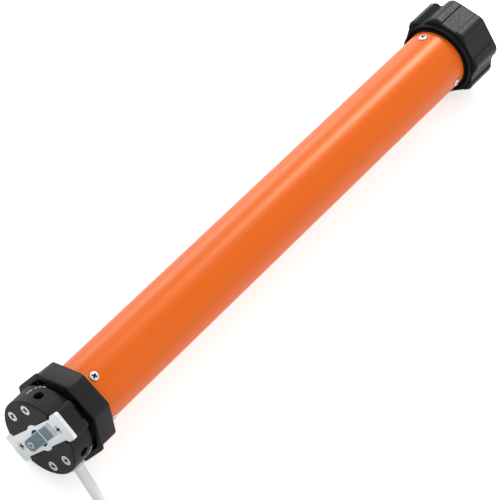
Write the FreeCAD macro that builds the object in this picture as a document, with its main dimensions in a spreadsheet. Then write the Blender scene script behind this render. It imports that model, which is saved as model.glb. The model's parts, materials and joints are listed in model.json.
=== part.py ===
import FreeCAD, Part
import math
import os
import re

import Sketcher
from FreeCAD import Placement, Rotation, Vector

# Tubular motor for a roller blind, made for a 60 mm octagonal roller tube.
# The motor's axis is X, from the bracket end to the driven end. Along the axis,
# places are counted from the front of the face covers. Round it, turns are
# counted from straight up towards the front side (-Y).

doc = FreeCAD.newDocument("tubular_motor")

# Driving sizes in millimetres and degrees
SIZES = {
    # clearances
    "turning_gap": 0.3,
    "running_fit": 0.08,
    "seat_gap": 0.05,
    # motor tube
    "tube_radius": 22.5,
    "tube_wall": 1.2,
    "tube_length": 394.8,
    "dimple_inset": 174.0,
    "dimple_turn": 89.0,
    "dimple_radius": 0.9,
    "dimple_depth": 0.6,
    # head housing
    "channel_turn": 29.2,
    "head_radius": 27.8,
    "head_depth": 17.2,
    "head_edge": 0.6,
    "neck_collar_radius": 23.2,
    "spigot_length": 20.0,
    "lug_reach": 32.9,
    "lug_half_width": 9.9,
    "lug_depth": 11.3,
    "lug_corner": 2.0,
    "notch_half_width": 4.5,
    "notch_length": 2.6,
    "notch_depth": 2.5,
    "stud_well_radius": 6.6,
    "stud_well_depth": 1.6,
    "wire_bore_radius": 6.0,
    "wire_bore_wall": 1.7,
    # limit adjusters in their wells
    "adjuster_place": 8.8,
    "adjuster_spread": 52.0,
    "adjuster_radius": 3.15,
    "adjuster_seat": 12.5,
    "adjuster_length": 9.8,
    "adjuster_key": 1.6,
    "adjuster_key_depth": 3.0,
    # face covers
    "cover_thickness": 3.1,
    "cover_gap": 0.3,
    "cover_edge": 0.8,
    "cover_screw_wall": 0.389,
    "cover_screw_inset": 8.2,
    # bracket plate
    "plate_thickness": 2.6,
    "plate_reach": 33.2,
    "plate_corner": 2.0,
    "waist_reach": 23.8,
    "shoulder_length": 2.2,
    "tab_half_width": 9.9,
    "waist_half_width": 8.1,
    "lobe_radius": 9.9,
    "plate_bore_radius": 6.2,
    "plate_screw_place": 24.1,
    # countersunk screws of the head
    "screw_radius": 1.7,
    "screw_head_radius": 3.6,
    "screw_length": 11.0,
    # spring latch on the plate
    "leaf_thickness": 0.6,
    "leaf_half_width": 4.7,
    "leaf_skew": 6.0,
    "leaf_root_end": 19.5,
    "leaf_bend": 6.0,
    "leaf_reach": 18.5,
    "leaf_rise": 10.0,
    "leaf_tip_round": 3.4,
    "button_radius": 2.3,
    "button_height": 0.5,
    "button_round": 0.4,
    "button_inset": 5.0,
    # crown that turns with the roller tube
    "crown_turn": 23.85,
    "crown_front": 20.0,
    "crown_length": 16.0,
    "crown_flats": 57.8,
    "crown_wall": 1.6,
    "lip_flats": 61.6,
    "lip_thickness": 2.0,
    "sleeve_inset": 2.0,
    "sleeve_wall": 2.7,
    "crown_web": 3.0,
    "crown_rib": 1.8,
    "crown_rib_inset": 5.0,
    # pan head screws of the tube
    "tube_screw_radius": 1.5,
    "tube_screw_head": 3.15,
    "tube_screw_rise": 1.1,
    "tube_screw_rim": 0.5,
    "tube_screw_crest": 2.2,
    "tube_screw_length": 6.5,
    "near_screw_inset": 8.5,
    "near_screw_turn": 9.1,
    "far_screw_inset": 7.9,
    "far_screw_turn": 89.8,
    # drive wheel
    "wheel_collar_radius": 26.3,
    "wheel_collar_length": 3.4,
    "wheel_length": 26.2,
    "wheel_flats": 56.6,
    "pad_flats": 58.4,
    "pad_width": 6.0,
    "pad_inset": 2.2,
    "groove_lip": 7.0,
    "groove_slope": 8.1,
    "groove_floor": 3.3,
    "groove_wall": 1.3,
    "groove_depth": 3.3,
    "notch_lip": 6.0,
    "notch_floor": 1.2,
    "notch_sink": 0.9,
    "wheel_wall": 2.4,
    "wheel_web": 5.0,
    "wheel_rib": 2.4,
    "wheel_rib_inset": 4.0,
    "hub_radius": 11.0,
    "hub_inset": 8.0,
    "washer_radius": 8.5,
    "washer_thickness": 1.5,
    "wheel_screw_radius": 2.1,
    "wheel_screw_head": 4.4,
    "wheel_screw_rise": 2.6,
    "wheel_screw_length": 14.0,
    # limit switch unit and capacitor
    "chassis_length": 64.0,
    "chassis_wall": 3.0,
    "chassis_floor": 3.0,
    "switch_length": 20.0,
    "switch_height": 10.0,
    "switch_width": 6.4,
    "switch_side": 9.0,
    "switch_inset": 6.0,
    "plunger_radius": 1.0,
    "plunger_height": 1.5,
    "spindle_radius": 2.0,
    "spindle_side": 9.0,
    "spindle_drop": 10.0,
    "nut_half_width": 4.0,
    "nut_length": 6.0,
    "nut_inset": 20.0,
    "capacitor_radius": 15.0,
    "capacitor_length": 58.0,
    "capacitor_edge": 1.5,
    "holder_length": 30.0,
    # motor
    "shield_length": 12.0,
    "bearing_radius": 11.0,
    "bearing_width": 7.0,
    "shaft_radius": 4.0,
    "shaft_hole_gap": 1.0,
    "end_turn_length": 9.0,
    "end_turn_wall": 6.2,
    "end_turn_edge": 1.8,
    "stator_bore_radius": 12.7,
    "air_gap": 0.35,
    "slot_depth": 5.6,
    "slot_width": 3.0,
    "cage_ring_length": 3.0,
    "cage_ring_wall": 5.0,
    # brake
    "brake_length": 15.0,
    "brake_wall": 2.0,
    "brake_disc_radius": 14.0,
    "brake_disc_width": 4.0,
    "brake_pad_width": 3.0,
    "brake_pad_bore": 7.0,
    "spring_radius": 8.0,
    "spring_thickness": 0.8,
    "spring_rise": 2.2,
    # planetary gearbox
    "gearbox_length": 36.0,
    "gearbox_cover_width": 3.0,
    "gearbox_wall": 2.25,
    "tooth_addendum": 0.585,
    "tooth_dedendum": 0.8,
    "tooth_thinning": 0.08,
    "planet_width": 11.0,
    "planet_pin_radius": 2.5,
    "carrier_gap": 0.515,
    "carrier_width": 4.5,
    "sun_shaft_radius": 2.9,
    # output end
    "output_housing_length": 32.0,
    "output_shaft_radius": 8.0,
    "bush_wall": 2.5,
    "square_half": 5.6,
    # cable, its gland and its coil
    "cable_radius": 3.5,
    "gland_radius": 5.4,
    "gland_stand": 1.0,
    "gland_depth": 7.0,
    "coil_inner_radius": 26.0,
    "coil_outer_radius": 54.0,
    "coil_height": 13.2,
    "coil_edge": 2.5,
    "core_radius": 1.1,
    "core_length": 26.0,
}
SUN_TEETH = 16
PLANET_TEETH = 20
RING_TEETH = 56
PLANETS = 3
PRESSURE_ANGLE = math.radians(20)

# Places and sizes that follow from the driving sizes
DERIVED = {
    "axis_height": "0.5 * lip_flats / cos(22.5) * cos(crown_turn - 22.5)",
    "latch_front": "leaf_back - leaf_reach * sin(leaf_rise) - leaf_thickness * cos(leaf_rise)",
    "middle_place": "0.5 * (latch_front + wheel_end)",
    "plate_front": "cover_thickness - plate_thickness",
    "crown_back": "crown_front + crown_length",
    "sleeve_start": "crown_front + sleeve_inset",
    "collar_end": "sleeve_start - turning_gap",
    "tube_bore": "tube_radius - tube_wall",
    "inner_radius": "tube_bore - seat_gap",
    "crown_bore": "inner_radius + running_fit",
    "tube_start": "crown_back + turning_gap",
    "tube_end": "tube_start + tube_length",
    "spigot_end": "tube_start + spigot_length",
    "near_screw_place": "tube_start + near_screw_inset",
    "far_screw_place": "tube_end - far_screw_inset",
    "dimple_place": "tube_start + dimple_inset",
    "wire_bore_start": "cover_thickness + stud_well_depth + wire_bore_wall",
    "well_radius": "adjuster_radius + running_fit",
    "adjuster_foot": "adjuster_seat + turning_gap",
    "adjuster_top": "adjuster_foot + adjuster_length",
    "cover_screw_across": "head_radius - cover_screw_inset",
    "screw_hole_radius": "screw_radius + seat_gap",
    "screw_slope": "screw_head_radius - screw_radius",
    "cover_screw_reach": "cover_screw_across * cos(adjuster_spread)",
    "cover_screw_room": "well_radius + screw_hole_radius + cover_screw_wall",
    "cover_screw_along": "(cover_screw_reach - cover_screw_room) / sin(adjuster_spread)",
    "leaf_back": "plate_front - seat_gap",
    "chassis_start": "spigot_end + seat_gap",
    "chassis_end": "chassis_start + chassis_length",
    "bay_start": "chassis_start + chassis_wall",
    "bay_length": "chassis_length - 2 * chassis_wall",
    "capacitor_start": "chassis_end + seat_gap",
    "capacitor_end": "capacitor_start + capacitor_length",
    "holder_start": "0.5 * (capacitor_start + capacitor_end - holder_length)",
    "front_shield_start": "capacitor_end + seat_gap",
    "front_shield_end": "front_shield_start + shield_length",
    "housing_start": "tube_end - output_housing_length",
    "gearbox_end": "housing_start - seat_gap",
    "gearbox_start": "gearbox_end - gearbox_length",
    "gear_cover_end": "gearbox_start - seat_gap",
    "gear_cover_start": "gear_cover_end - gearbox_cover_width",
    "brake_end": "gear_cover_start - seat_gap",
    "brake_start": "brake_end - brake_length",
    "brake_pad_end": "brake_end - brake_wall",
    "brake_pad_start": "brake_pad_end - brake_pad_width",
    "brake_disc_end": "brake_pad_start - turning_gap",
    "brake_disc_start": "brake_disc_end - brake_disc_width",
    "rear_shield_end": "brake_start - seat_gap",
    "rear_shield_start": "rear_shield_end - shield_length",
    "stator_start": "front_shield_end + end_turn_length + seat_gap",
    "stator_end": "rear_shield_start - end_turn_length - seat_gap",
    "rotor_radius": "stator_bore_radius - air_gap",
    "front_bearing_start": "front_shield_end - bearing_width",
    "shaft_hole_radius": "shaft_radius + shaft_hole_gap",
    "shaft_seat_radius": "shaft_radius + seat_gap",
    "sun_pitch": f"{SUN_TEETH / 2} * tooth_module",
    "planet_pitch": f"{PLANET_TEETH / 2} * tooth_module",
    "ring_pitch": "inner_radius - gearbox_wall - tooth_dedendum",
    "tooth_module": f"ring_pitch / {RING_TEETH / 2}",
    "carrier_radius": "ring_pitch - tooth_addendum - carrier_gap",
    "planet_distance": "sun_pitch + planet_pitch",
    "stage_one_start": "gearbox_start + 2 * turning_gap",
    "stage_one_end": "stage_one_start + planet_width",
    "carrier_one_start": "stage_one_end + turning_gap",
    "carrier_one_end": "carrier_one_start + carrier_width",
    "stage_two_start": "carrier_one_end + turning_gap",
    "stage_two_end": "stage_two_start + planet_width",
    "carrier_two_start": "stage_two_end + turning_gap",
    "carrier_two_end": "carrier_two_start + carrier_width",
    "wheel_start": "tube_end + turning_gap",
    "wheel_body_start": "wheel_start + wheel_collar_length",
    "wheel_end": "wheel_body_start + wheel_length",
    "hub_end": "wheel_end - hub_inset",
    "washer_end": "hub_end + washer_thickness",
    "hollow_start": "wheel_body_start + wheel_web",
    "hollow_flats": "pad_flats - 2 * groove_depth - 2 * wheel_wall",
    "pad_start": "wheel_body_start + pad_inset",
    "pad_length": "wheel_length - 2 * pad_inset",
    "pad_crest": "0.5 * pad_flats",
    "wheel_flat": "0.5 * wheel_flats",
    "channel_half": "pad_crest * tan(22.5) - pad_width",
    "shaft_bore": "output_shaft_radius + running_fit",
    "bush_radius": "shaft_bore + bush_wall",
    "square_hole": "square_half + seat_gap",
    "gland_start": "head_radius - gland_depth",
    "gland_end": "head_radius + gland_stand",
}

sheet = doc.addObject("Spreadsheet::Sheet", "sizes")
for row, (alias, number) in enumerate(SIZES.items(), start=1):
    sheet.set(f"A{row}", alias)
    sheet.set(f"B{row}", str(number))
    sheet.setAlias(f"B{row}", alias)
doc.recompute()

NAME = re.compile(r"[a-z]+(?:_[a-z]+)+")


def formula(text):
    """Write named sizes as references to the sheet's cells, and derived names in full."""
    def reference(match):
        word = match.group(0)
        if word in DERIVED:
            return f"({formula(DERIVED[word])})"
        return f"sizes.{word}"
    return NAME.sub(reference, str(text))


amounts = {}


def amount(text):
    """Work out a formula of named sizes."""
    if text not in amounts:
        amounts[text] = float(sheet.evalExpression(formula(text)))
    return amounts[text]


def bind(thing, prop, text):
    """Bind one property of an object to a formula of named sizes."""
    thing.setExpression(prop, formula(text))


def turn_about_axis(degrees):
    """The rotation round the motor's axis by a turn in degrees."""
    return Rotation(Vector(1, 0, 0), degrees)


# Sketches and bodies

def new_body(label, turn=None):
    """Start a body on the motor's axis, turned round it where a turn is given."""
    body = doc.addObject("PartDesign::Body", label)
    body.Label = label
    if turn is not None:
        body.Placement = Placement(Vector(), turn_about_axis(amount(turn)))
        bind(body, "Placement.Rotation.Angle", turn)
    return body


def origin_feature(body, role):
    """Find one of the body's own origin planes or axes."""
    for feature in body.Origin.OriginFeatures:
        if feature.Role == role:
            return feature
    raise LookupError(role)


def cross_sketch(body, name, along="0", turn=0.0):
    """Start a sketch square to the axis: its own x is +Y and its own y is up."""
    sketch = body.newObject("Sketcher::SketchObject", name)
    sketch.AttachmentSupport = [(origin_feature(body, "YZ_Plane"), "")]
    sketch.MapMode = "FlatFace"
    spin = Rotation(Vector(0, 0, 1), turn)
    sketch.AttachmentOffset = Placement(Vector(0, 0, amount(along)), spin)
    bind(sketch, "AttachmentOffset.Base.z", along)
    return sketch


def pin_point(sketch, kind, geometry, point, text):
    """Fix one coordinate of a sketch point to a formula of named sizes."""
    spot = amount(text)
    if abs(spot) < 1e-9:
        axis = -2 if kind == "DistanceX" else -1
        sketch.addConstraint(Sketcher.Constraint("PointOnObject", geometry, point, axis))
        return
    written = formula(text)
    ends = (-1, 1, geometry, point)
    if spot < 0:
        written = f"-({written})"
        ends = (geometry, point, -1, 1)
    rule = sketch.addConstraint(Sketcher.Constraint(kind, *ends, abs(spot)))
    sketch.setExpression(f"Constraints[{rule}]", written)


def draw_outline(sketch, corners):
    """Draw a closed outline of straight lines through corners given as formulas."""
    first = sketch.GeometryCount
    spots = [Vector(amount(across), amount(upward), 0) for across, upward in corners]
    count = len(spots)
    for number in range(count):
        line = Part.LineSegment(spots[number], spots[(number + 1) % count])
        sketch.addGeometry(line, False)
    for number in range(count):
        following = first + (number + 1) % count
        rule = Sketcher.Constraint("Coincident", first + number, 2, following, 1)
        sketch.addConstraint(rule)
    for number, (across, upward) in enumerate(corners):
        pin_point(sketch, "DistanceX", first + number, 1, across)
        pin_point(sketch, "DistanceY", first + number, 1, upward)


def draw_block(sketch, left, right, low, high):
    """Draw a rectangle between two formulas across and two upward."""
    draw_outline(sketch, [(right, low), (right, high), (left, high), (left, low)])


def draw_octagon(sketch, flats):
    """Draw a regular octagon with level flats, given its width across flats."""
    far = f"0.5 * ({flats})"
    near = f"0.5 * ({flats}) * tan(22.5)"
    upper = [(far, near), (near, far), (f"-{near}", far), (f"-{far}", near)]
    lower = [(f"-{far}", f"-{near}"), (f"-{near}", f"-{far}"), (near, f"-{far}"), (far, f"-{near}")]
    draw_outline(sketch, upper + lower)


def draw_circle(sketch, across, upward, radius):
    """Draw a circle with its centre and radius given as formulas."""
    centre = Vector(amount(across), amount(upward), 0)
    circle = Part.Circle(centre, Vector(0, 0, 1), amount(radius))
    number = sketch.addGeometry(circle, False)
    rule = sketch.addConstraint(Sketcher.Constraint("Radius", number, amount(radius)))
    sketch.setExpression(f"Constraints[{rule}]", formula(radius))
    pin_point(sketch, "DistanceX", number, 3, across)
    pin_point(sketch, "DistanceY", number, 3, upward)


def pad(body, sketch, length):
    """Raise a sketch along the axis by a length."""
    feature = body.newObject("PartDesign::Pad", sketch.Name + "_pad")
    feature.Profile = sketch
    bind(feature, "Length", length)
    return feature


def pocket(body, sketch, depth, backward=False):
    """Cut a sketch into the body, forward along the axis unless told backward."""
    doc.recompute()
    volume = body.Tip.Shape.Volume
    feature = body.newObject("PartDesign::Pocket", sketch.Name + "_pocket")
    feature.Profile = sketch
    feature.Reversed = not backward
    bind(feature, "Length", depth)
    doc.recompute()
    if not feature.Shape.Volume < volume:
        raise RuntimeError(f"{feature.Name} cuts nothing")
    return feature


def repeat_round(body, feature, count):
    """Repeat a feature evenly round the axis and make the pattern the tip."""
    pattern = body.newObject("PartDesign::PolarPattern", feature.Name + "_round")
    pattern.Originals = [feature]
    pattern.Axis = (origin_feature(body, "X_Axis"), [""])
    pattern.Angle = 360
    pattern.Occurrences = count
    body.Tip = pattern
    return pattern


def turned(label, corners, turn=None):
    """Turn a piece from a profile of (along, radius) corners, revolved about the axis."""
    body = new_body(label, turn)
    sketch = body.newObject("Sketcher::SketchObject", label + "_profile")
    sketch.AttachmentSupport = [(origin_feature(body, "XY_Plane"), "")]
    sketch.MapMode = "FlatFace"
    draw_outline(sketch, corners)
    feature = body.newObject("PartDesign::Revolution", label + "_turning")
    feature.Profile = sketch
    feature.ReferenceAxis = (sketch, ["H_Axis"])
    feature.Angle = 360
    return body


def ring_corners(start, end, inside, outside):
    """Corners of a plain ring's profile."""
    return [(start, inside), (start, outside), (end, outside), (end, inside)]


def is_straight_along(edge):
    """Whether an edge is straight and lies along the axis."""
    if edge.Curve.TypeId != "Part::GeomLine" or len(edge.Vertexes) != 2:
        return False
    run = edge.Vertexes[1].Point - edge.Vertexes[0].Point
    return abs(run.y) < 1e-6 and abs(run.z) < 1e-6


def is_circle_at(edge, along, radius=None):
    """Whether an edge is a circle at a place along the axis, of a radius if given."""
    if edge.Curve.TypeId != "Part::GeomCircle" or abs(edge.Curve.Center.x - along) > 1e-6:
        return False
    return radius is None or abs(edge.Curve.Radius - radius) < 1e-6


def is_corner_of(edge, across, upward):
    """Whether an edge runs along the axis at one of the four corners of a rectangle."""
    if not is_straight_along(edge):
        return False
    spot = edge.Vertexes[0].Point
    return abs(abs(spot.y) - amount(across)) < 1e-6 and abs(abs(spot.z) - amount(upward)) < 1e-6


def dress(body, kind, size, wanted, name):
    """Round ("Fillet") or bevel ("Chamfer") the tip's edges that a test picks out."""
    doc.recompute()
    base = body.Tip
    edges = base.Shape.Edges
    names = [f"Edge{number}" for number, edge in enumerate(edges, start=1) if wanted(edge)]
    if not names:
        raise RuntimeError(f"{name} finds no edge")
    feature = body.newObject("PartDesign::" + kind, name)
    feature.Base = (base, names)
    bind(feature, "Radius" if kind == "Fillet" else "Size", size)
    body.Tip = feature
    return feature


# Rods, blocks and cuts

def rod_outward(name, radius, length, along, turn, start):
    """Make a rod that points away from the axis, at a place along it and a turn round it."""
    rod = doc.addObject("Part::Cylinder", name)
    bind(rod, "Radius", radius)
    bind(rod, "Height", length)
    spin = turn_about_axis(turn)
    foot = Vector(amount(along), 0, 0) + spin.multVec(Vector(0, 0, amount(start)))
    rod.Placement = Placement(foot, spin)
    return rod


def rod_along(name, radius, length, along, across="0", upward="0", turn=0.0):
    """Make a rod parallel to the axis; its centre is given before the turn round the axis."""
    rod = doc.addObject("Part::Cylinder", name)
    bind(rod, "Radius", radius)
    bind(rod, "Height", length)
    spin = turn_about_axis(turn)
    foot = spin.multVec(Vector(amount(along), amount(across), amount(upward)))
    rod.Placement = Placement(foot, spin.multiply(Rotation(Vector(0, 1, 0), 90)))
    return rod


def block(name, length, width, height, along, across, upward):
    """Make a box by its low corner and its sizes along, across and upward."""
    box = doc.addObject("Part::Box", name)
    bind(box, "Length", length)
    bind(box, "Width", width)
    bind(box, "Height", height)
    box.Placement = Placement(Vector(amount(along), amount(across), amount(upward)), Rotation())
    return box


def cut_out(label, base, tools):
    """Cut tools out of a base and give the result its label."""
    base.Label = label + "_blank"
    tool = tools[0]
    if len(tools) > 1:
        tool = doc.addObject("Part::MultiFuse", label + "_tools")
        tool.Shapes = tools
    result = doc.addObject("Part::Cut", label)
    result.Base = base
    result.Tool = tool
    result.Label = label
    return result


def fused(label, pieces):
    """Fuse pieces into one solid and give it its label."""
    result = doc.addObject("Part::MultiFuse", label)
    result.Shapes = pieces
    result.Label = label
    return result


def group(label, pieces):
    """Keep like pieces together as one node of separate solids."""
    result = doc.addObject("Part::Compound", label)
    result.Links = pieces
    result.Label = label
    return result


def solid(label, shape):
    """Hold a shape that neither sketches nor primitives make."""
    feature = doc.addObject("Part::Feature", label)
    feature.Shape = shape
    feature.Label = label
    return feature


# Head housing, covers, plate and latch

def screw_spots():
    """Places of the cover screws and the plate screws as (across, upward) formulas."""
    cover = []
    for across in ("-cover_screw_across", "cover_screw_across"):
        for upward in ("-cover_screw_along", "cover_screw_along"):
            cover.append((across, upward))
    plate = [("0", "-plate_screw_place"), ("0", "plate_screw_place")]
    return cover, plate


def tube_screw_turns():
    """Turns of the near and the far screws round the tube."""
    near = [amount("near_screw_turn") + 90 * number for number in range(4)]
    far = [amount("far_screw_turn") + 120 * number for number in range(3)]
    return near, far


def tube_screw_holes(name, turns, along):
    """Drills for one ring of tube screws."""
    start = "tube_radius - tube_screw_length - seat_gap"
    length = "tube_screw_length + tube_screw_rise"
    radius = "tube_screw_radius + seat_gap"
    holes = []
    for number, turn in enumerate(turns):
        holes.append(rod_outward(f"{name}_{number}", radius, length, along, turn, start))
    return holes


def make_head_housing():
    """The moulded head: disc, lugs behind the plate, collar, bearing neck and spigot."""
    body = turned("head_housing", [
        ("cover_thickness", "0"),
        ("cover_thickness", "head_radius"),
        ("head_depth - head_edge", "head_radius"),
        ("head_depth", "head_radius - head_edge"),
        ("head_depth", "neck_collar_radius"),
        ("collar_end", "neck_collar_radius"),
        ("collar_end", "inner_radius"),
        ("spigot_end", "inner_radius"),
        ("spigot_end", "0"),
    ], "channel_turn")
    lugs = cross_sketch(body, "lugs", "cover_thickness")
    draw_block(lugs, "-lug_half_width", "lug_half_width", "-lug_reach", "lug_reach")
    pad(body, lugs, "lug_depth")
    dress(body, "Fillet", "lug_corner",
          lambda edge: is_corner_of(edge, "lug_half_width", "lug_reach"), "lug_corners")
    notch = cross_sketch(body, "lug_notch", "cover_thickness + lug_depth")
    across = ("-notch_half_width", "notch_half_width")
    draw_block(notch, *across, "lug_reach - notch_depth", "lug_reach + 1")
    draw_block(notch, *across, "-lug_reach - 1", "-lug_reach + notch_depth")
    pocket(body, notch, "notch_length", backward=True)

    turn = amount("channel_turn")
    tools = [
        rod_along("stud_well", "stud_well_radius", "stud_well_depth", "cover_thickness"),
        rod_along("wire_bore", "wire_bore_radius", "spigot_end", "wire_bore_start"),
        rod_outward("cable_bore", "cable_radius", "head_radius", "adjuster_place", turn + 90, "0"),
        rod_outward("gland_bore", "gland_radius + seat_gap", "gland_depth + gland_stand",
                    "adjuster_place", turn + 90, "gland_start"),
    ]
    for name, side in (("upper_well", -1), ("lower_well", 1)):
        place = turn + side * amount("adjuster_spread")
        tools.append(rod_outward(name, "well_radius", "head_radius", "adjuster_place",
                                 place, "adjuster_seat"))
    cover, plate = screw_spots()
    for number, (across, upward) in enumerate(cover + plate):
        tools.append(rod_along(f"head_screw_hole_{number}", "screw_hole_radius",
                               "screw_length + seat_gap", "0", across, upward, turn))
    near, _ = tube_screw_turns()
    tools += tube_screw_holes("spigot_hole", near, "near_screw_place")
    return cut_out("head_housing", body, tools)


def make_face_cover(label, side):
    """One D-shaped cover beside the plate; side is 1 towards +Y and -1 towards -Y."""
    body = new_body(label, "channel_turn")
    disc = cross_sketch(body, label + "_disc")
    draw_circle(disc, "0", "0", "head_radius")
    pad(body, disc, "cover_thickness")
    dress(body, "Chamfer", "cover_edge", lambda edge: is_circle_at(edge, 0.0), label + "_bevel")

    sign = "" if side > 0 else "-"
    other = "-" if side > 0 else ""
    waist = f"{sign}(waist_half_width + cover_gap)"
    tab = f"{sign}(tab_half_width + cover_gap)"
    beyond = f"{other}(head_radius + 1)"
    shoulder = "(waist_reach - 2 * cover_gap)"
    strip = cross_sketch(body, label + "_strip")
    draw_outline(strip, [
        (waist, f"-{shoulder}"),
        (tab, f"-{shoulder}"),
        (tab, "-head_radius - 1"),
        (beyond, "-head_radius - 1"),
        (beyond, "head_radius + 1"),
        (tab, "head_radius + 1"),
        (tab, shoulder),
        (waist, shoulder),
    ])
    pocket(body, strip, "cover_thickness")
    lobe = cross_sketch(body, label + "_lobe")
    draw_circle(lobe, "0", "0", "lobe_radius + cover_gap")
    pocket(body, lobe, "cover_thickness")
    holes = cross_sketch(body, label + "_holes")
    for upward in ("-cover_screw_along", "cover_screw_along"):
        draw_circle(holes, f"{sign}cover_screw_across", upward, "screw_hole_radius")
    pocket(body, holes, "cover_thickness")
    rim = amount("screw_hole_radius")
    dress(body, "Chamfer", "screw_slope", lambda edge: is_circle_at(edge, 0.0, rim),
          label + "_countersinks")
    return body


def make_bracket_plate():
    """The zinc-plated plate: wide ends, sloped shoulders, waist, round lobes and bore."""
    body = new_body("bracket_plate", "channel_turn")
    outline = cross_sketch(body, "plate_outline", "plate_front")
    upper = [
        ("waist_half_width", "waist_reach"),
        ("tab_half_width", "waist_reach + shoulder_length"),
        ("tab_half_width", "plate_reach"),
        ("-tab_half_width", "plate_reach"),
        ("-tab_half_width", "waist_reach + shoulder_length"),
        ("-waist_half_width", "waist_reach"),
    ]
    lower = [
        ("-waist_half_width", "-waist_reach"),
        ("-tab_half_width", "-waist_reach - shoulder_length"),
        ("-tab_half_width", "-plate_reach"),
        ("tab_half_width", "-plate_reach"),
        ("tab_half_width", "-waist_reach - shoulder_length"),
        ("waist_half_width", "-waist_reach"),
    ]
    draw_outline(outline, upper + lower)
    pad(body, outline, "plate_thickness")
    lobes = cross_sketch(body, "plate_lobes", "plate_front")
    draw_circle(lobes, "0", "0", "lobe_radius")
    pad(body, lobes, "plate_thickness")
    dress(body, "Fillet", "plate_corner",
          lambda edge: is_corner_of(edge, "tab_half_width", "plate_reach"), "plate_corners")
    bore = cross_sketch(body, "plate_bore", "plate_front")
    draw_circle(bore, "0", "0", "plate_bore_radius")
    for upward in ("-plate_screw_place", "plate_screw_place"):
        draw_circle(bore, "0", upward, "screw_hole_radius")
    pocket(body, bore, "plate_thickness")
    front = amount("plate_front")
    rim = amount("screw_hole_radius")
    dress(body, "Chamfer", "screw_slope", lambda edge: is_circle_at(edge, front, rim),
          "plate_countersinks")
    return body


def make_head_screws():
    """The four cover screws and the two plate screws, as two groups."""
    cover, plate = screw_spots()
    spin = turn_about_axis(amount("channel_turn"))
    groups = []
    for label, spots, front in (("face_screws", cover, "0"), ("plate_screws", plate, "plate_front")):
        corners = [
            (front, "0"),
            (front, "screw_head_radius - seat_gap"),
            (f"{front} + screw_slope", "screw_radius - seat_gap"),
            ("screw_length", "screw_radius - seat_gap"),
            ("screw_length", "0"),
        ]
        screws = []
        for number, (across, upward) in enumerate(spots):
            screw = turned(f"{label}_{number}", corners)
            foot = spin.multVec(Vector(0, amount(across), amount(upward)))
            screw.Placement = Placement(foot, Rotation())
            screws.append(screw)
        groups.append(group(label, screws))
    return groups


def make_latch():
    """The leaf spring on the plate: a flat root, and a tongue that rises from the bend."""
    turn = "channel_turn - leaf_skew"
    root = new_body("latch_root", turn)
    flat = cross_sketch(root, "latch_flat", "leaf_back - leaf_thickness")
    draw_block(flat, "-leaf_half_width", "leaf_half_width", "leaf_bend + turning_gap",
               "leaf_root_end")
    pad(root, flat, "leaf_thickness")

    tongue = new_body("latch_tongue")
    strip = cross_sketch(tongue, "tongue_strip", "-leaf_thickness")
    draw_block(strip, "-leaf_half_width", "leaf_half_width", "-leaf_reach", "0")
    pad(tongue, strip, "leaf_thickness")
    dress(tongue, "Fillet", "leaf_tip_round",
          lambda edge: is_corner_of(edge, "leaf_half_width", "leaf_reach"), "tongue_tip")
    button = cross_sketch(tongue, "tongue_button", "-leaf_thickness - button_height")
    draw_circle(button, "0", "-leaf_reach + button_inset", "button_radius")
    pad(tongue, button, "button_height")
    top = -amount("leaf_thickness + button_height")
    dress(tongue, "Fillet", "button_round", lambda edge: is_circle_at(edge, top), "button_edge")

    spin = turn_about_axis(amount(turn))
    foot = spin.multVec(Vector(amount("leaf_back"), 0, amount("leaf_bend")))
    lift = Rotation(Vector(0, 1, 0), amount("leaf_rise"))
    tongue.Placement = Placement(foot, spin.multiply(lift))
    return [root, tongue]


def make_adjusters():
    """The two limit adjusters, each with a key recess in its outer end."""
    pieces = []
    for label, side in (("limit_adjuster_upper", -1), ("limit_adjuster_lower", 1)):
        turn = amount("channel_turn") + side * amount("adjuster_spread")
        blank = rod_outward(label + "_rod", "adjuster_radius", "adjuster_length",
                            "adjuster_place", turn, "adjuster_foot")
        key = doc.addObject("Part::Prism", label + "_key")
        key.Polygon = 6
        bind(key, "Circumradius", "adjuster_key")
        bind(key, "Height", "adjuster_key_depth + 1")
        spin = turn_about_axis(turn)
        foot = spin.multVec(Vector(0, 0, amount("adjuster_top - adjuster_key_depth")))
        key.Placement = Placement(Vector(amount("adjuster_place"), 0, 0) + foot, spin)
        pieces.append(cut_out(label, blank, [key]))
    return pieces


# Crown, tube, screws and drive wheel

def make_crown():
    """The idler crown: octagonal shell and lip, bearing sleeve, web and ribs."""
    body = new_body("crown", "crown_turn")
    lip = cross_sketch(body, "crown_lip", "crown_front")
    draw_octagon(lip, "lip_flats")
    pad(body, lip, "lip_thickness")
    band = cross_sketch(body, "crown_band", "crown_front")
    draw_octagon(band, "crown_flats")
    pad(body, band, "crown_length")
    recess = cross_sketch(body, "crown_recess", "crown_front")
    draw_octagon(recess, "crown_flats - 2 * crown_wall")
    pocket(body, recess, "crown_length - crown_web")
    sleeve = cross_sketch(body, "crown_sleeve", "sleeve_start")
    draw_circle(sleeve, "0", "0", "crown_bore + sleeve_wall")
    pad(body, sleeve, "crown_length - sleeve_inset")
    rib = cross_sketch(body, "crown_rib_outline", "crown_front + crown_rib_inset")
    draw_block(rib, "-0.5 * crown_rib", "0.5 * crown_rib", "crown_bore + 0.5 * sleeve_wall",
               "0.5 * (crown_flats - crown_wall)")
    ribs = pad(body, rib, "crown_length - crown_rib_inset - 0.5 * crown_web")
    repeat_round(body, ribs, 8)
    bore = cross_sketch(body, "crown_bore_outline", "crown_front")
    draw_circle(bore, "0", "0", "crown_bore")
    pocket(body, bore, "crown_length")
    return body


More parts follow.
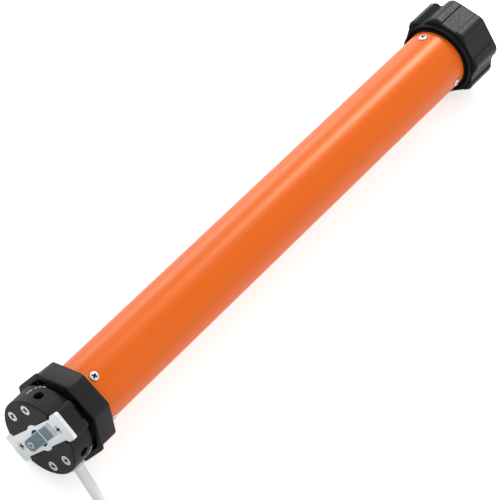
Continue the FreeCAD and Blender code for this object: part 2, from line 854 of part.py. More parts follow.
def make_motor_tube():
    """The painted steel tube, with its screw holes and its punched dimple."""
    blank = turned("motor_tube", ring_corners("tube_start", "tube_end", "tube_bore", "tube_radius"))
    near, far = tube_screw_turns()
    tools = tube_screw_holes("near_tube_hole", near, "near_screw_place")
    tools += tube_screw_holes("far_tube_hole", far, "far_screw_place")
    tools.append(rod_outward("tube_dimple", "dimple_radius", "dimple_depth + 1", "dimple_place",
                             amount("dimple_turn"), "tube_radius - dimple_depth"))
    return cut_out("motor_tube", blank, tools)


def make_tube_screws():
    """The two rings of screws that hold the head and the output housing in the tube."""
    corners = [
        ("-tube_screw_length", "0"),
        ("-tube_screw_length", "tube_screw_radius"),
        ("0", "tube_screw_radius"),
        ("0", "tube_screw_head"),
        ("tube_screw_rim", "tube_screw_head"),
        ("tube_screw_rise", "tube_screw_crest"),
        ("tube_screw_rise", "0"),
    ]
    near, far = tube_screw_turns()
    groups = []
    for label, turns, along in (("near_tube_screws", near, "near_screw_place"),
                                ("far_tube_screws", far, "far_screw_place")):
        screws = []
        for number, turn in enumerate(turns):
            screw = turned(f"{label}_{number}", corners)
            spin = turn_about_axis(turn)
            foot = Vector(amount(along), 0, 0) + spin.multVec(Vector(0, 0, amount("tube_radius")))
            outward = spin.multiply(Rotation(Vector(0, 1, 0), -90))
            screw.Placement = Placement(foot, outward)
            screws.append(screw)
        groups.append(group(label, screws))
    return groups


def make_drive_wheel():
    """The drive wheel: collar, octagon with corner pads, seam grooves, hub and ribs."""
    body = new_body("drive_wheel")
    collar = cross_sketch(body, "wheel_collar", "wheel_start")
    draw_circle(collar, "0", "0", "wheel_collar_radius")
    pad(body, collar, "wheel_body_start - wheel_start + pad_inset")
    pads = cross_sketch(body, "wheel_pads", "pad_start")
    draw_octagon(pads, "pad_flats")
    pad(body, pads, "pad_length")
    channel = cross_sketch(body, "wheel_channel", "pad_start")
    draw_block(channel, "-channel_half", "channel_half", "wheel_flat - 1", "pad_crest + 1")
    repeat_round(body, pocket(body, channel, "pad_length"), 8)
    core = cross_sketch(body, "wheel_core", "wheel_body_start")
    draw_octagon(core, "wheel_flats")
    pad(body, core, "wheel_length")
    cut_seam_grooves(body)

    hollow = cross_sketch(body, "wheel_hollow", "hollow_start")
    draw_octagon(hollow, "hollow_flats")
    pocket(body, hollow, "wheel_length")
    hub = cross_sketch(body, "wheel_hub", "hollow_start")
    draw_circle(hub, "0", "0", "hub_radius")
    pad(body, hub, "hub_end - hollow_start")
    rib = cross_sketch(body, "wheel_rib_outline", "hollow_start")
    draw_block(rib, "-0.5 * wheel_rib", "0.5 * wheel_rib", "0.8 * hub_radius",
               "0.5 * (hollow_flats + wheel_wall)")
    ribs = pad(body, rib, "hub_end - wheel_rib_inset - hollow_start")
    repeat_round(body, ribs, 8)
    square = cross_sketch(body, "wheel_square", "wheel_start")
    draw_block(square, "-square_hole", "square_hole", "-square_hole", "square_hole")
    pocket(body, square, "wheel_end - wheel_start")
    return body


def cut_seam_grooves(wheel):
    """The deep groove and the shallow notch in two flats, which clear the roller tube's seam."""
    floor = "pad_crest - groove_depth"
    start = "-groove_lip + groove_slope"
    groove = cross_sketch(wheel, "seam_groove", "wheel_body_start", -45)
    draw_outline(groove, [
        ("-groove_lip", "pad_crest + 1"),
        ("-groove_lip", "pad_crest"),
        (start, floor),
        (f"{start} + groove_floor", floor),
        (f"{start} + groove_floor + groove_wall", "pad_crest"),
        (f"{start} + groove_floor + groove_wall", "pad_crest + 1"),
    ])
    pocket(wheel, groove, "wheel_length")
    notch = cross_sketch(wheel, "seam_notch", "wheel_body_start", 90)
    draw_outline(notch, [
        ("notch_lip", "wheel_flat"),
        ("-notch_floor", "wheel_flat - notch_sink"),
        ("-notch_lip", "wheel_flat"),
    ])
    pocket(wheel, notch, "wheel_length")


def make_wheel_fasteners():
    """The washer and the screw that hold the drive wheel on its shaft."""
    washer = turned("wheel_washer", ring_corners(
        "hub_end", "washer_end", "wheel_screw_radius + seat_gap", "washer_radius"))
    screw = turned("wheel_screw", [
        ("washer_end - wheel_screw_length", "0"),
        ("washer_end - wheel_screw_length", "wheel_screw_radius"),
        ("washer_end", "wheel_screw_radius"),
        ("washer_end", "wheel_screw_head"),
        ("washer_end + wheel_screw_rise", "wheel_screw_head"),
        ("washer_end + wheel_screw_rise", "0"),
    ])
    return [washer, screw]


def make_output_end():
    """The output housing in the tube's end, its bush, and the output shaft."""
    housing = turned("output_housing", ring_corners(
        "housing_start", "tube_end", "bush_radius + seat_gap", "inner_radius"))
    _, far = tube_screw_turns()
    holes = tube_screw_holes("housing_hole", far, "far_screw_place")
    drilled = cut_out("output_housing", housing, holes)
    bush = turned("output_bush", ring_corners("housing_start", "tube_end", "shaft_bore", "bush_radius"))
    shaft = turned("output_shaft", ring_corners(
        "carrier_two_end", "wheel_start", "0", "output_shaft_radius"))
    for name, start, length in (("inner_square", "carrier_two_start", "carrier_width"),
                                ("outer_square", "wheel_start", "hub_end - wheel_start")):
        square = cross_sketch(shaft, name, start)
        draw_block(square, "-square_half", "square_half", "-square_half", "square_half")
        pad(shaft, square, length)
    tapped = cross_sketch(shaft, "shaft_tapping", "hub_end")
    draw_circle(tapped, "0", "0", "wheel_screw_radius + seat_gap")
    pocket(shaft, tapped, "wheel_screw_length", backward=True)
    return [drilled, bush, shaft]


# Electrics and motor

def make_limit_unit():
    """The limit switch unit: chassis, two switches, two spindles with their nuts."""
    chassis = turned("limit_chassis", ring_corners("chassis_start", "chassis_end", "0", "inner_radius"))
    beyond = "(inner_radius + 1)"
    bay = cross_sketch(chassis, "chassis_bay", "bay_start")
    draw_block(bay, f"-{beyond}", beyond, "-0.5 * chassis_floor", beyond)
    pocket(chassis, bay, "bay_length")
    under = cross_sketch(chassis, "chassis_underside", "bay_start")
    draw_block(under, f"-{beyond}", beyond, f"-{beyond}", "-1.5 * chassis_floor")
    pocket(chassis, under, "bay_length")

    switches = []
    spindles = []
    nuts = []
    for number, side in enumerate(("-", "")):
        low = f"{side}switch_side - 0.5 * switch_width"
        start = "bay_start + switch_inset"
        case = block(f"switch_case_{number}", "switch_length", "switch_width", "switch_height",
                     start, low, "-0.5 * chassis_floor")
        plunger = block(f"switch_plunger_{number}", "2 * plunger_radius", "switch_width - 2",
                        "2 * plunger_height", f"{start} + 0.3 * switch_length", f"{low} + 1",
                        "switch_height - 0.5 * chassis_floor - plunger_height")
        switches.append(fused(f"limit_switch_{number}", [case, plunger]))
        across = f"{side}spindle_side"
        spindles.append(rod_along(f"limit_spindle_{number}", "spindle_radius", "bay_length",
                                  "bay_start", across, "-spindle_drop"))
        nut = block(f"nut_block_{number}", "nut_length", "2 * nut_half_width", "2 * nut_half_width",
                    "bay_start + nut_inset", f"{across} - nut_half_width",
                    "-spindle_drop - nut_half_width")
        hole = rod_along(f"nut_hole_{number}", "spindle_radius + seat_gap", "nut_length + 2",
                         "bay_start + nut_inset - 1", across, "-spindle_drop")
        nuts.append(cut_out(f"limit_nut_{number}", nut, [hole]))
    return [chassis, group("limit_switches", switches), group("limit_spindles", spindles),
            group("limit_nuts", nuts)]


def make_capacitor():
    """The motor's capacitor and the ring that holds it in the tube."""
    can = turned("capacitor", [
        ("capacitor_start", "0"),
        ("capacitor_start", "capacitor_radius - capacitor_edge"),
        ("capacitor_start + capacitor_edge", "capacitor_radius"),
        ("capacitor_end - capacitor_edge", "capacitor_radius"),
        ("capacitor_end", "capacitor_radius - capacitor_edge"),
        ("capacitor_end", "0"),
    ])
    holder = turned("capacitor_holder", ring_corners(
        "holder_start", "holder_start + holder_length", "capacitor_radius + seat_gap", "inner_radius"))
    return [can, holder]


def make_stator():
    """Bearing shields, ball bearings, stator core and the two ends of its winding."""
    pieces = []
    pocket_radius = "bearing_radius + seat_gap"
    pieces.append(turned("front_shield", [
        ("front_shield_start", "shaft_hole_radius"),
        ("front_shield_start", "inner_radius"),
        ("front_shield_end", "inner_radius"),
        ("front_shield_end", pocket_radius),
        ("front_bearing_start", pocket_radius),
        ("front_bearing_start", "shaft_hole_radius"),
    ]))
    pieces.append(turned("rear_shield", [
        ("rear_shield_start", pocket_radius),
        ("rear_shield_start", "inner_radius"),
        ("rear_shield_end", "inner_radius"),
        ("rear_shield_end", "shaft_hole_radius"),
        ("rear_shield_start + bearing_width", "shaft_hole_radius"),
        ("rear_shield_start + bearing_width", pocket_radius),
    ]))
    for label, start in (("front_bearing", "front_bearing_start"), ("rear_bearing", "rear_shield_start")):
        pieces.append(turned(label, ring_corners(
            start, f"{start} + bearing_width", "shaft_radius + running_fit", "bearing_radius")))
    core = turned("stator_core", ring_corners(
        "stator_start", "stator_end", "stator_bore_radius", "inner_radius"))
    slot = cross_sketch(core, "stator_slot", "stator_start")
    draw_block(slot, "-0.5 * slot_width", "0.5 * slot_width", "0.5 * stator_bore_radius",
               "stator_bore_radius + slot_depth")
    repeat_round(core, pocket(core, slot, "stator_end - stator_start"), 12)
    pieces.append(core)
    outside = "inner_radius - seat_gap"
    inside = f"{outside} - end_turn_wall"
    ends = (("winding_front", "front_shield_end + seat_gap", "stator_start"),
            ("winding_rear", "stator_end", "rear_shield_start - seat_gap"))
    for label, start, end in ends:
        pieces.append(turned(label, [
            (f"{start} + end_turn_edge", inside),
            (start, f"{inside} + end_turn_edge"),
            (start, f"{outside} - end_turn_edge"),
            (f"{start} + end_turn_edge", outside),
            (f"{end} - end_turn_edge", outside),
            (end, f"{outside} - end_turn_edge"),
            (end, f"{inside} + end_turn_edge"),
            (f"{end} - end_turn_edge", inside),
        ]))
    return pieces


def make_rotor():
    """The rotor: stepped shaft, core and the cage's two end rings."""
    shaft = turned("rotor_shaft", [
        ("front_bearing_start", "0"),
        ("front_bearing_start", "shaft_radius"),
        ("gearbox_start", "shaft_radius"),
        ("gearbox_start", "sun_shaft_radius"),
        ("stage_one_end", "sun_shaft_radius"),
        ("stage_one_end", "0"),
    ])
    core = turned("rotor_core", ring_corners(
        "stator_start", "stator_end", "shaft_seat_radius", "rotor_radius"))
    rings = []
    for name, start in (("front_cage_ring", "stator_start - cage_ring_length"),
                        ("rear_cage_ring", "stator_end")):
        rings.append(turned(name, ring_corners(
            start, f"{start} + cage_ring_length", "rotor_radius - cage_ring_wall", "rotor_radius")))
    return [shaft, core, group("cage_rings", rings)]


def make_brake():
    """The spring brake: fixed housing and lining, disc and spring washer on the rotor."""
    housing = turned("brake_housing", [
        ("brake_start", "inner_radius - brake_wall"),
        ("brake_start", "inner_radius"),
        ("brake_end", "inner_radius"),
        ("brake_end", "shaft_hole_radius"),
        ("brake_pad_end", "shaft_hole_radius"),
        ("brake_pad_end", "inner_radius - brake_wall"),
    ])
    lining = turned("brake_lining", ring_corners(
        "brake_pad_start", "brake_pad_end", "brake_pad_bore", "brake_disc_radius"))
    disc = turned("brake_disc", ring_corners(
        "brake_disc_start", "brake_disc_end", "shaft_seat_radius", "brake_disc_radius"))
    spring = turned("brake_spring", [
        ("brake_disc_start - spring_rise - spring_thickness", "shaft_seat_radius"),
        ("brake_disc_start - spring_thickness", "spring_radius"),
        ("brake_disc_start", "spring_radius"),
        ("brake_disc_start - spring_rise", "shaft_seat_radius"),
    ])
    return [housing, lining, disc, spring]


# Planetary gearbox

def tooth_half_angle(pitch, radius, teeth, thickness_change):
    """Half of a tooth's angle at a radius, on an involute through the pitch circle."""
    base = pitch * math.cos(PRESSURE_ANGLE)
    slant = math.acos(base / max(radius, base))
    unrolled = math.tan(PRESSURE_ANGLE) - PRESSURE_ANGLE - (math.tan(slant) - slant)
    return math.pi / (2 * teeth) + thickness_change / pitch + unrolled


def toothed_face(pitch, teeth, root, tip, thickness_change, phase):
    """A flat face across the axis whose outline has teeth between two radii."""
    flank = []
    for radius in (root, pitch, tip):
        flank.append((radius, tooth_half_angle(pitch, radius, teeth, thickness_change)))
    corners = []
    for number in range(teeth):
        middle = phase + 2 * math.pi * number / teeth
        sides = [(radius, middle - half) for radius, half in flank]
        sides += [(radius, middle + half) for radius, half in reversed(flank)]
        for radius, angle in sides:
            corners.append(Vector(0, radius * math.cos(angle), radius * math.sin(angle)))
    return Part.Face(Part.makePolygon(corners + corners[:1]))


def raised(face, along, width):
    """Raise a face along the axis from a place, by a width."""
    shape = face.extrude(Vector(amount(width), 0, 0))
    shape.translate(Vector(amount(along), 0, 0))
    return shape


def rod_shape(radius, along, width):
    """A plain rod on the axis, as a shape."""
    foot = Vector(amount(along), 0, 0)
    return Part.makeCylinder(amount(radius), amount(width), foot, Vector(1, 0, 0))


def make_spur_gear(label, pitch, teeth, along, bore, phase=0.0):
    """A spur gear on the axis with a plain bore."""
    radius = amount(pitch)
    root = radius - amount("tooth_dedendum")
    tip = radius + amount("tooth_addendum")
    face = toothed_face(radius, teeth, root, tip, -amount("tooth_thinning"), phase)
    shape = raised(face, along, "planet_width").cut(rod_shape(bore, along, "planet_width"))
    return solid(label, shape)


def make_ring_gear():
    """The gearbox sleeve, with the ring's teeth all along its bore."""
    radius = amount("ring_pitch")
    root = radius - amount("tooth_addendum")
    tip = radius + amount("tooth_dedendum")
    spaces = toothed_face(radius, RING_TEETH, root, tip, amount("tooth_thinning"), math.pi / RING_TEETH)
    sleeve = rod_shape("inner_radius", "gearbox_start", "gearbox_length")
    return solid("gearbox_sleeve", sleeve.cut(raised(spaces, "gearbox_start", "gearbox_length")))


def make_planets(stage, along):
    """The planets of one stage, each turned so that its teeth mesh with sun and ring."""
    pieces = []
    for number in range(PLANETS):
        place = 2 * math.pi * number / PLANETS
        mesh_turn = 2 * math.pi / PLANET_TEETH * (SUN_TEETH * number / PLANETS - 0.5)
        label = f"planet_{stage}_{'abc'[number]}"
        planet = make_spur_gear(label, "planet_pitch", PLANET_TEETH, along,
                                "planet_pin_radius + running_fit", place + math.pi + mesh_turn)
        distance = amount("planet_distance")
        spot = Vector(0, distance * math.cos(place), distance * math.sin(place))
        planet.Placement = Placement(spot, Rotation())
        pieces.append(planet)
    return pieces


def add_pins(carrier, name, start):
    """Add the planets' pins to a carrier, reaching forward from its disc."""
    pin = cross_sketch(carrier, name, start)
    draw_circle(pin, "planet_distance", "0", "planet_pin_radius")
    pins = pad(carrier, pin, "planet_width + turning_gap + 0.5 * carrier_width")
    repeat_round(carrier, pins, PLANETS)


def make_gearbox():
    """The two-stage planetary gearbox: sleeve, cover, suns, planets and carriers."""
    cover = turned("gearbox_cover", ring_corners(
        "gear_cover_start", "gear_cover_end", "shaft_hole_radius", "inner_radius"))
    carrier_one = turned("carrier_one", [
        ("carrier_one_start", "0"),
        ("carrier_one_start", "carrier_radius"),
        ("carrier_one_end", "carrier_radius"),
        ("carrier_one_end", "sun_shaft_radius"),
        ("stage_two_end", "sun_shaft_radius"),
        ("stage_two_end", "0"),
    ])
    add_pins(carrier_one, "pins_one", "stage_one_start")
    carrier_two = turned("carrier_two", ring_corners(
        "carrier_two_start", "carrier_two_end", "0", "carrier_radius"))
    add_pins(carrier_two, "pins_two", "stage_two_start")
    square = cross_sketch(carrier_two, "carrier_square", "carrier_two_start")
    draw_block(square, "-square_hole", "square_hole", "-square_hole", "square_hole")
    pocket(carrier_two, square, "carrier_width")
    sun_bore = "sun_shaft_radius + seat_gap"
    pieces = [cover, make_ring_gear(), carrier_one, carrier_two]
    pieces.append(make_spur_gear("sun_one", "sun_pitch", SUN_TEETH, "stage_one_start", sun_bore))
    pieces.append(make_spur_gear("sun_two", "sun_pitch", SUN_TEETH, "stage_two_start", sun_bore))
    pieces += make_planets("one", "stage_one_start")
    pieces += make_planets("two", "stage_two_start")
    return pieces


# Cable

def cable_exit():
    """The point where the cable leaves its gland."""
    outward = turn_about_axis(amount("channel_turn") + 90).multVec(Vector(0, 0, 1))
    place = amount("adjuster_place - middle_place")
    return Vector(place, 0, amount("axis_height")) + outward * amount("gland_end")


# The cable's route after its exit as (X, Y, Z), chosen by eye
CABLE_ROUTE = [
    (-220.0, -36.6, 12.9),
    (-222.2, -49.4, 8.0),
    (-228.0, -62.0, 4.9),
    (-238.5, -71.8, 3.6),
    (-252.5, -77.5, 3.6),
    (-268.0, -79.5, 3.6),
    (-284.0, -79.8, 3.6),
    (-300.2, -79.9, 3.6),
    (-318.2, -80.5, 3.6),
]
# The cable's end beyond the coil, from the coil's upper turn down to the floor
TAIL_ROUTE = [
    (-367.8, -48.0, 9.9),
    (-373.5, -36.4, 7.8),
    (-379.1, -24.2, 4.7),
    (-382.7, -11.4, 3.6),
]


def route_path(points):
    """Straight runs through a route's points, joined by arcs tangent to both."""
    edges = []
    radii = []
    start = points[0]
    for before, corner, after in zip(points, points[1:], points[2:]):
        arriving = (corner - before).normalize()
        leaving = (after - corner).normalize()
        half_turn = arriving.getAngle(leaving) / 2
        reach = 0.45 * min((corner - before).Length, (after - corner).Length)
        radius = reach / math.tan(half_turn)
        inward = (leaving - arriving).normalize()
        middle = corner + inward * (radius / math.cos(half_turn) - radius)
        first = corner - arriving * reach
        last = corner + leaving * reach
        edges.append(Part.LineSegment(start, first).toShape())
        edges.append(Part.Arc(first, middle, last).toShape())
        radii.append(round(radius, 1))
        start = last
    edges.append(Part.LineSegment(start, points[-1]).toShape())
    return Part.Wire(edges), radii


def make_tube_along(label, points):
    """A round cable along a route, checked against its section times its length."""
    path, radii = route_path(points)
    radius = amount("cable_radius")
    section = Part.Wire(Part.makeCircle(radius, points[0], points[1] - points[0]))
    shape = path.makePipeShell([section], True, False)
    volume = math.pi * radius ** 2 * path.Length
    if abs(shape.Volume / volume - 1) > 0.01:
        raise RuntimeError(f"{label} has the wrong volume")
    print(label, "is", round(path.Length, 1), "long with radii", radii)
    return solid(label, shape)


def make_cable():
    """The gland, then the cable to its coil, the coil, the cable's end and its bare cores."""
    gland = rod_outward("cable_gland", "gland_radius", "gland_depth + gland_stand",
                        "adjuster_place", amount("channel_turn") + 90, "gland_start")
    route = [cable_exit()] + [Vector(*point) for point in CABLE_ROUTE]
    lead = make_tube_along("cable_tube", route)

    side = (route[-1] - route[-2]).normalize().cross(Vector(0, 0, 1))
    centre = route[-1] + side * amount("coil_outer_radius - cable_radius")
    coil = turned("cable_coil", [
        ("coil_edge", "coil_inner_radius"),
        ("0", "coil_inner_radius + coil_edge"),
        ("0", "coil_outer_radius - coil_edge"),
        ("coil_edge", "coil_outer_radius"),
        ("coil_height - coil_edge", "coil_outer_radius"),
        ("coil_height", "coil_outer_radius - coil_edge"),
        ("coil_height", "coil_inner_radius + coil_edge"),
        ("coil_height - coil_edge", "coil_inner_radius"),
    ])
    coil.Placement = Placement(Vector(centre.x, centre.y, 0), Rotation(Vector(0, 1, 0), -90))

    route = [Vector(*point) for point in TAIL_ROUTE]
    tail = make_tube_along("cable_tail", route)
    onward = (route[-1] - route[-2]).normalize()
    across = onward.cross(Vector(0, 0, 1)).normalize()
    above = across.cross(onward)
    cores = []
    for number in range(4):
        angle = math.radians(45 + 90 * number)
        shift = across * math.cos(angle) + above * math.sin(angle)
        core = doc.addObject("Part::Cylinder", f"cable_core_{number}")
        bind(core, "Radius", "core_radius")
        bind(core, "Height", "core_length")
        foot = route[-1] + shift * amount("0.5 * cable_radius")
        core.Placement = Placement(foot, Rotation(Vector(0, 0, 1), onward))
        cores.append(core)
    return gland, [lead, coil, tail, group("cable_cores", cores)]


def make_pieces():
    """Make every piece, and set the object's own pieces to stand on the floor."""
    gland, cable = make_cable()
    own = [make_head_housing(), make_bracket_plate(), make_crown(), make_motor_tube(), make_drive_wheel()]
    own += [make_face_cover("face_cover_front", -1), make_face_cover("face_cover_rear", 1), gland]
    for make in (make_head_screws, make_latch, make_adjusters, make_tube_screws, make_wheel_fasteners,
                 make_output_end, make_limit_unit, make_capacitor, make_stator, make_rotor,
                 make_brake, make_gearbox):
        own += make()
    home = Vector(-amount("middle_place"), 0, amount("axis_height"))
    for piece in own:
        spot = piece.Placement
        piece.Placement = Placement(home + spot.Base, spot.Rotation)
    return own + cable


def check_pieces(pieces):
    """Stop if any object failed or any piece isn't a valid solid."""
    doc.recompute()
    for thing in doc.Objects:
        if "Invalid" in thing.State or "Error" in thing.State:
            raise RuntimeError(f"{thing.Name} failed: {thing.State}")
    for piece in pieces:
        if piece.Shape.isNull() or not piece.Shape.isValid() or not piece.Shape.Solids:
            raise RuntimeError(f"{piece.Label} has no valid solid")


pieces = make_pieces()
check_pieces(pieces)
os.makedirs("parts", exist_ok=True)
for piece in pieces:
    piece.Shape.exportStep(f"parts/{piece.Label}.step")
print(len(pieces), "nodes, middle at", amount("middle_place"), "and axis at", amount("axis_height"))
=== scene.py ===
"""The dressed scene of a tubular roller blind motor: tube, head, latch, crown, wheel and cable."""

import json
import logging
import math
from dataclasses import dataclass, field
from enum import Enum
from typing import Mapping, Sequence, Union

import bpy
import numpy as np
from mathutils import Matrix, Vector


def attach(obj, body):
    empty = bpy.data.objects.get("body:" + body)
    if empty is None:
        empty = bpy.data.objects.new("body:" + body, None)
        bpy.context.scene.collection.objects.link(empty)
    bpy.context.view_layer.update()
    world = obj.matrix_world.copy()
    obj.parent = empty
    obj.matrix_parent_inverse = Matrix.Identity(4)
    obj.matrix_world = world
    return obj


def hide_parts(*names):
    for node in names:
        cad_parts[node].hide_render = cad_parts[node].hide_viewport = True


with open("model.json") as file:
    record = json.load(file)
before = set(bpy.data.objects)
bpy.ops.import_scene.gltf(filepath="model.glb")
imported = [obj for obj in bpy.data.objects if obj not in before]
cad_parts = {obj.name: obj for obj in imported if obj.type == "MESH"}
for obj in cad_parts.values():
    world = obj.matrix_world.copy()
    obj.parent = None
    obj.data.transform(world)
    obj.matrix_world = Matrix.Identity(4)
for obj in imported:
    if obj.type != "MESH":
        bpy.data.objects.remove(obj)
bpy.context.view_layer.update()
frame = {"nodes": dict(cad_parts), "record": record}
LOG = logging.getLogger("roller_motor")

# Places along the motor are in millimetres from the face of the head's covers
MIDDLE = 228.8233
AXIS_HEIGHT = 33.3284
METRE = 1000.0

# The crown and the wheel have eight flats each
EIGHTH = math.pi / 4.0


# Shaping

Array = np.ndarray
Radius = Union[float, Array]


def around_axis(place: Array, radius: Array, turn: Array) -> Array:
    """Points round the motor's axis, in metres.

    X is the place less the motor's middle, Y is minus radius times the turn's sine, and Z is the
    axis height plus radius times its cosine, so a turn runs from straight up towards the cable.

    Args:
        place: Millimetres from the covers' face.
        radius: Millimetres from the axis.
        turn: Radians.

    Returns:
        An array with three numbers for each point.
    """
    place, radius, turn = np.broadcast_arrays(place, radius, turn)
    points = np.stack([
        place - MIDDLE,
        -radius * np.sin(turn),
        AXIS_HEIGHT + radius * np.cos(turn),
    ], axis=-1)
    return points / METRE


def smooth_rise(value: Array, low: float, high: float) -> Array:
    """Zero below low, one above high, and the cubic 3s^2 - 2s^3 between them."""
    share = np.clip((value - low) / (high - low), 0.0, 1.0)
    return share * share * (3.0 - 2.0 * share)


def spread(start: float, end: float, count: int) -> Array:
    """Evenly spaced numbers from start to end."""
    return np.linspace(start, end, count)


def full_turn(count: int) -> Array:
    """Angles all the way round, without the last one, which is the first again."""
    return np.arange(count) * (2.0 * math.pi / count)


def turn_from(middle: float, turn: Array) -> Array:
    """How far each turn is from a middle one, between minus and plus half a turn."""
    return np.mod(turn - middle + math.pi, 2.0 * math.pi) - math.pi


def flat_angle(turn: Array, first_flat: float) -> Array:
    """The angle from the middle of the nearest of eight flats, between minus and plus 22.5 degrees."""
    return np.mod(turn - first_flat + 0.5 * EIGHTH, EIGHTH) - 0.5 * EIGHTH


def octagon_radius(turn: Array, flats: float, first_flat: float, rounding: float = 0.35) -> Array:
    """Radius of an octagon with softened corners.

    The flat's distance over the cosine of the angle from its middle, joined by a smooth minimum
    to the circle that passes inside the corners by the rounding.

    Args:
        turn: Radians round the axis.
        flats: Width across two opposite flats.
        first_flat: Turn of one flat's middle.
        rounding: How far each corner is drawn in.

    Returns:
        The radius at each turn.
    """
    straight = 0.5 * flats / np.cos(flat_angle(turn, first_flat))
    circle = 0.5 * flats / math.cos(0.5 * EIGHTH) - rounding
    sharpness = 6.0
    return circle - np.log(np.exp(-sharpness * (straight - circle)) + 1.0) / sharpness


@dataclass
class Shell:
    """Points and faces gathered from several surfaces, put into one mesh at the end."""

    name: str
    points: list[Array] = field(default_factory=list)
    faces: list[Array] = field(default_factory=list)
    shades: list[Array] = field(default_factory=list)
    count: int = 0

    def add(self, points: Array, faces: Sequence[Array], shade: Array | None = None) -> None:
        """Adds one surface, turned right side out by the sign of its volume.

        Args:
            points: An array of points.
            faces: Arrays of corner numbers, one array for quads and one for triangles.
            shade: The strength of the painted shade, painted highlight and wear at each point, from zero
                to one, or None for none.
        """
        self.shades.append(np.zeros(len(points)) if shade is None else shade)
        volume = 0.0
        for block in faces:
            for corner in range(1, block.shape[1] - 1):
                first, second, third = (points[block[:, k]] for k in (0, corner, corner + 1))
                volume += float(np.einsum("ij,ij->", first, np.cross(second, third)))
        for block in faces:
            turned = block if volume > 0.0 else block[:, ::-1]
            self.faces.append(turned + self.count)
        self.points.append(points)
        self.count += len(points)

    def add_grid(self, grid: Array, shade: Array | None = None, ring: bool = False) -> None:
        """Adds a surface whose columns always close, from rows of points.

        A ring's last row joins its first. Otherwise the first and the last row shrink to a point
        each, a pole, which is the row's mean.

        Args:
            grid: Rows by columns of points.
            shade: Rows by columns of painted shade, painted highlight and wear, from zero to one.
            ring: Whether the rows close too.
        """
        rows, columns = grid.shape[:2]
        dark = np.zeros((rows, columns)) if shade is None else shade
        across = np.arange(columns)
        beside = (across + 1) % columns
        low = np.arange(rows if ring else rows - 3)[:, None] * columns
        high = (low + columns) % (rows * columns)
        quads = np.stack([low + across, low + beside, high + beside, high + across], axis=-1)
        quads = quads.reshape(-1, 4)
        if ring:
            self.add(grid.reshape(-1, 3), [quads], dark.ravel())
            return
        last_row = (rows - 3) * columns
        first_pole = last_row + columns
        last_pole = first_pole + 1
        start_cap = np.stack([np.full(columns, first_pole), beside, across], axis=-1)
        end_cap = np.stack([np.full(columns, last_pole), last_row + across, last_row + beside], axis=-1)
        poles = np.stack([grid[0].mean(axis=0), grid[-1].mean(axis=0)])
        points = np.concatenate([grid[1:-1].reshape(-1, 3), poles])
        painted_light_and_wear = np.concatenate([dark[1:-1].ravel(), [dark[0].mean(), dark[-1].mean()]])
        self.add(points, [quads, start_cap, end_cap], painted_light_and_wear)

    def add_profile(self, rows: Sequence[tuple[float, Radius]], turn: Array,
                    shade: Array | None = None) -> None:
        """Adds a closed profile carried round the motor's axis.

        Args:
            rows: The place and the radius of each of its points; a radius can differ by turn.
            turn: Radians round the axis.
            shade: Rows by turns of painted shade, painted highlight and wear.
        """
        places = np.array([place for place, _ in rows])[:, None]
        radii = np.array([np.broadcast_to(radius, turn.shape) for _, radius in rows])
        self.add_grid(around_axis(places, radii, turn), shade, ring=True)

    def add_ribs(self, low: Sequence[float], high: Sequence[float], first_turn: float) -> None:
        """Adds eight plain ribs round the axis, one to each flat.

        Args:
            low: A rib's low corner as (place, across, outward) in millimetres.
            high: Its high corner.
            first_turn: The turn of the first rib.
        """
        points, faces = box_points(low, high)
        for number in range(8):
            self.add(turned_up(points, first_turn + number * EIGHTH), faces)

    def finish(self, body: str, stands_for: Sequence[str], slot: str, finish: "Finish",
               sharp: float = 32.0) -> bpy.types.Object:
        """Makes the object, smooth but for edges sharper than an angle, and hands it to its body.

        Args:
            body: The body that it rides on.
            stands_for: CAD nodes that it replaces.
            slot: The record's material slot; not used.
            finish: What its surface is.
            sharp: Degrees over which an edge stays crisp.

        Returns:
            The new object.
        """
        mesh = bpy.data.meshes.new(self.name)
        faces = [face for block in self.faces for face in block.tolist()]
        mesh.from_pydata(np.concatenate(self.points).tolist(), [], faces)
        mesh.polygons.foreach_set("use_smooth", np.ones(len(mesh.polygons), dtype=bool))
        mesh.set_sharp_from_angle(angle=math.radians(sharp))
        # The point attribute that carries the painted shade, painted highlights and wear to the finish.
        painted_light_and_wear = mesh.attributes.new("painted_light_and_wear", "FLOAT", "POINT")
        painted_light_and_wear.data.foreach_set("value", np.concatenate(self.shades).astype(np.float32))
        mesh.update()
        return hand_over(placed(self.name, mesh), body, stands_for, finish)


def placed(name: str, data: bpy.types.ID) -> bpy.types.Object:
    """A new object with that data, in the scene."""
    thing = bpy.data.objects.new(name, data)
    bpy.context.scene.collection.objects.link(thing)
    return thing


def dress(thing: bpy.types.Object, finish: "Finish") -> None:
    """Gives a piece its finish."""
    thing.data.materials.clear()
    thing.data.materials.append(finish.material())


def hand_over(thing: bpy.types.Object, body: str, stands_for: Sequence[str],
              finish: "Finish") -> bpy.types.Object:
    """Dresses a piece, sets it on its body and hides the CAD nodes it replaces."""
    dress(thing, finish)
    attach(thing, body)
    if stands_for:
        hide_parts(*stands_for)
    LOG.info("%s rides on %s", thing.name, body)
    return thing


def box_points(low: Sequence[float], high: Sequence[float]) -> tuple[Array, list[Array]]:
    """The eight corners of a plain rib and its six faces, for ribs inside a moulding."""
    bounds = np.array([low, high])
    pick = np.array([[0, 0, 0], [1, 0, 0], [1, 1, 0], [0, 1, 0],
                     [0, 0, 1], [1, 0, 1], [1, 1, 1], [0, 1, 1]])
    corners = bounds[pick, np.arange(3)]
    faces = np.array([[0, 3, 2, 1], [4, 5, 6, 7], [0, 1, 5, 4],
                      [1, 2, 6, 5], [2, 3, 7, 6], [3, 0, 4, 7]])
    return corners, [faces]


def turned_up(points: Array, turn: float) -> Array:
    """Points given as (place, across, outward) in millimetres, carried round the axis by a turn."""
    across = points[..., 1]
    outward = points[..., 2]
    sine, cosine = math.sin(turn), math.cos(turn)
    return np.stack([
        points[..., 0] - MIDDLE,
        across * cosine - outward * sine,
        AXIS_HEIGHT + across * sine + outward * cosine,
    ], axis=-1) / METRE


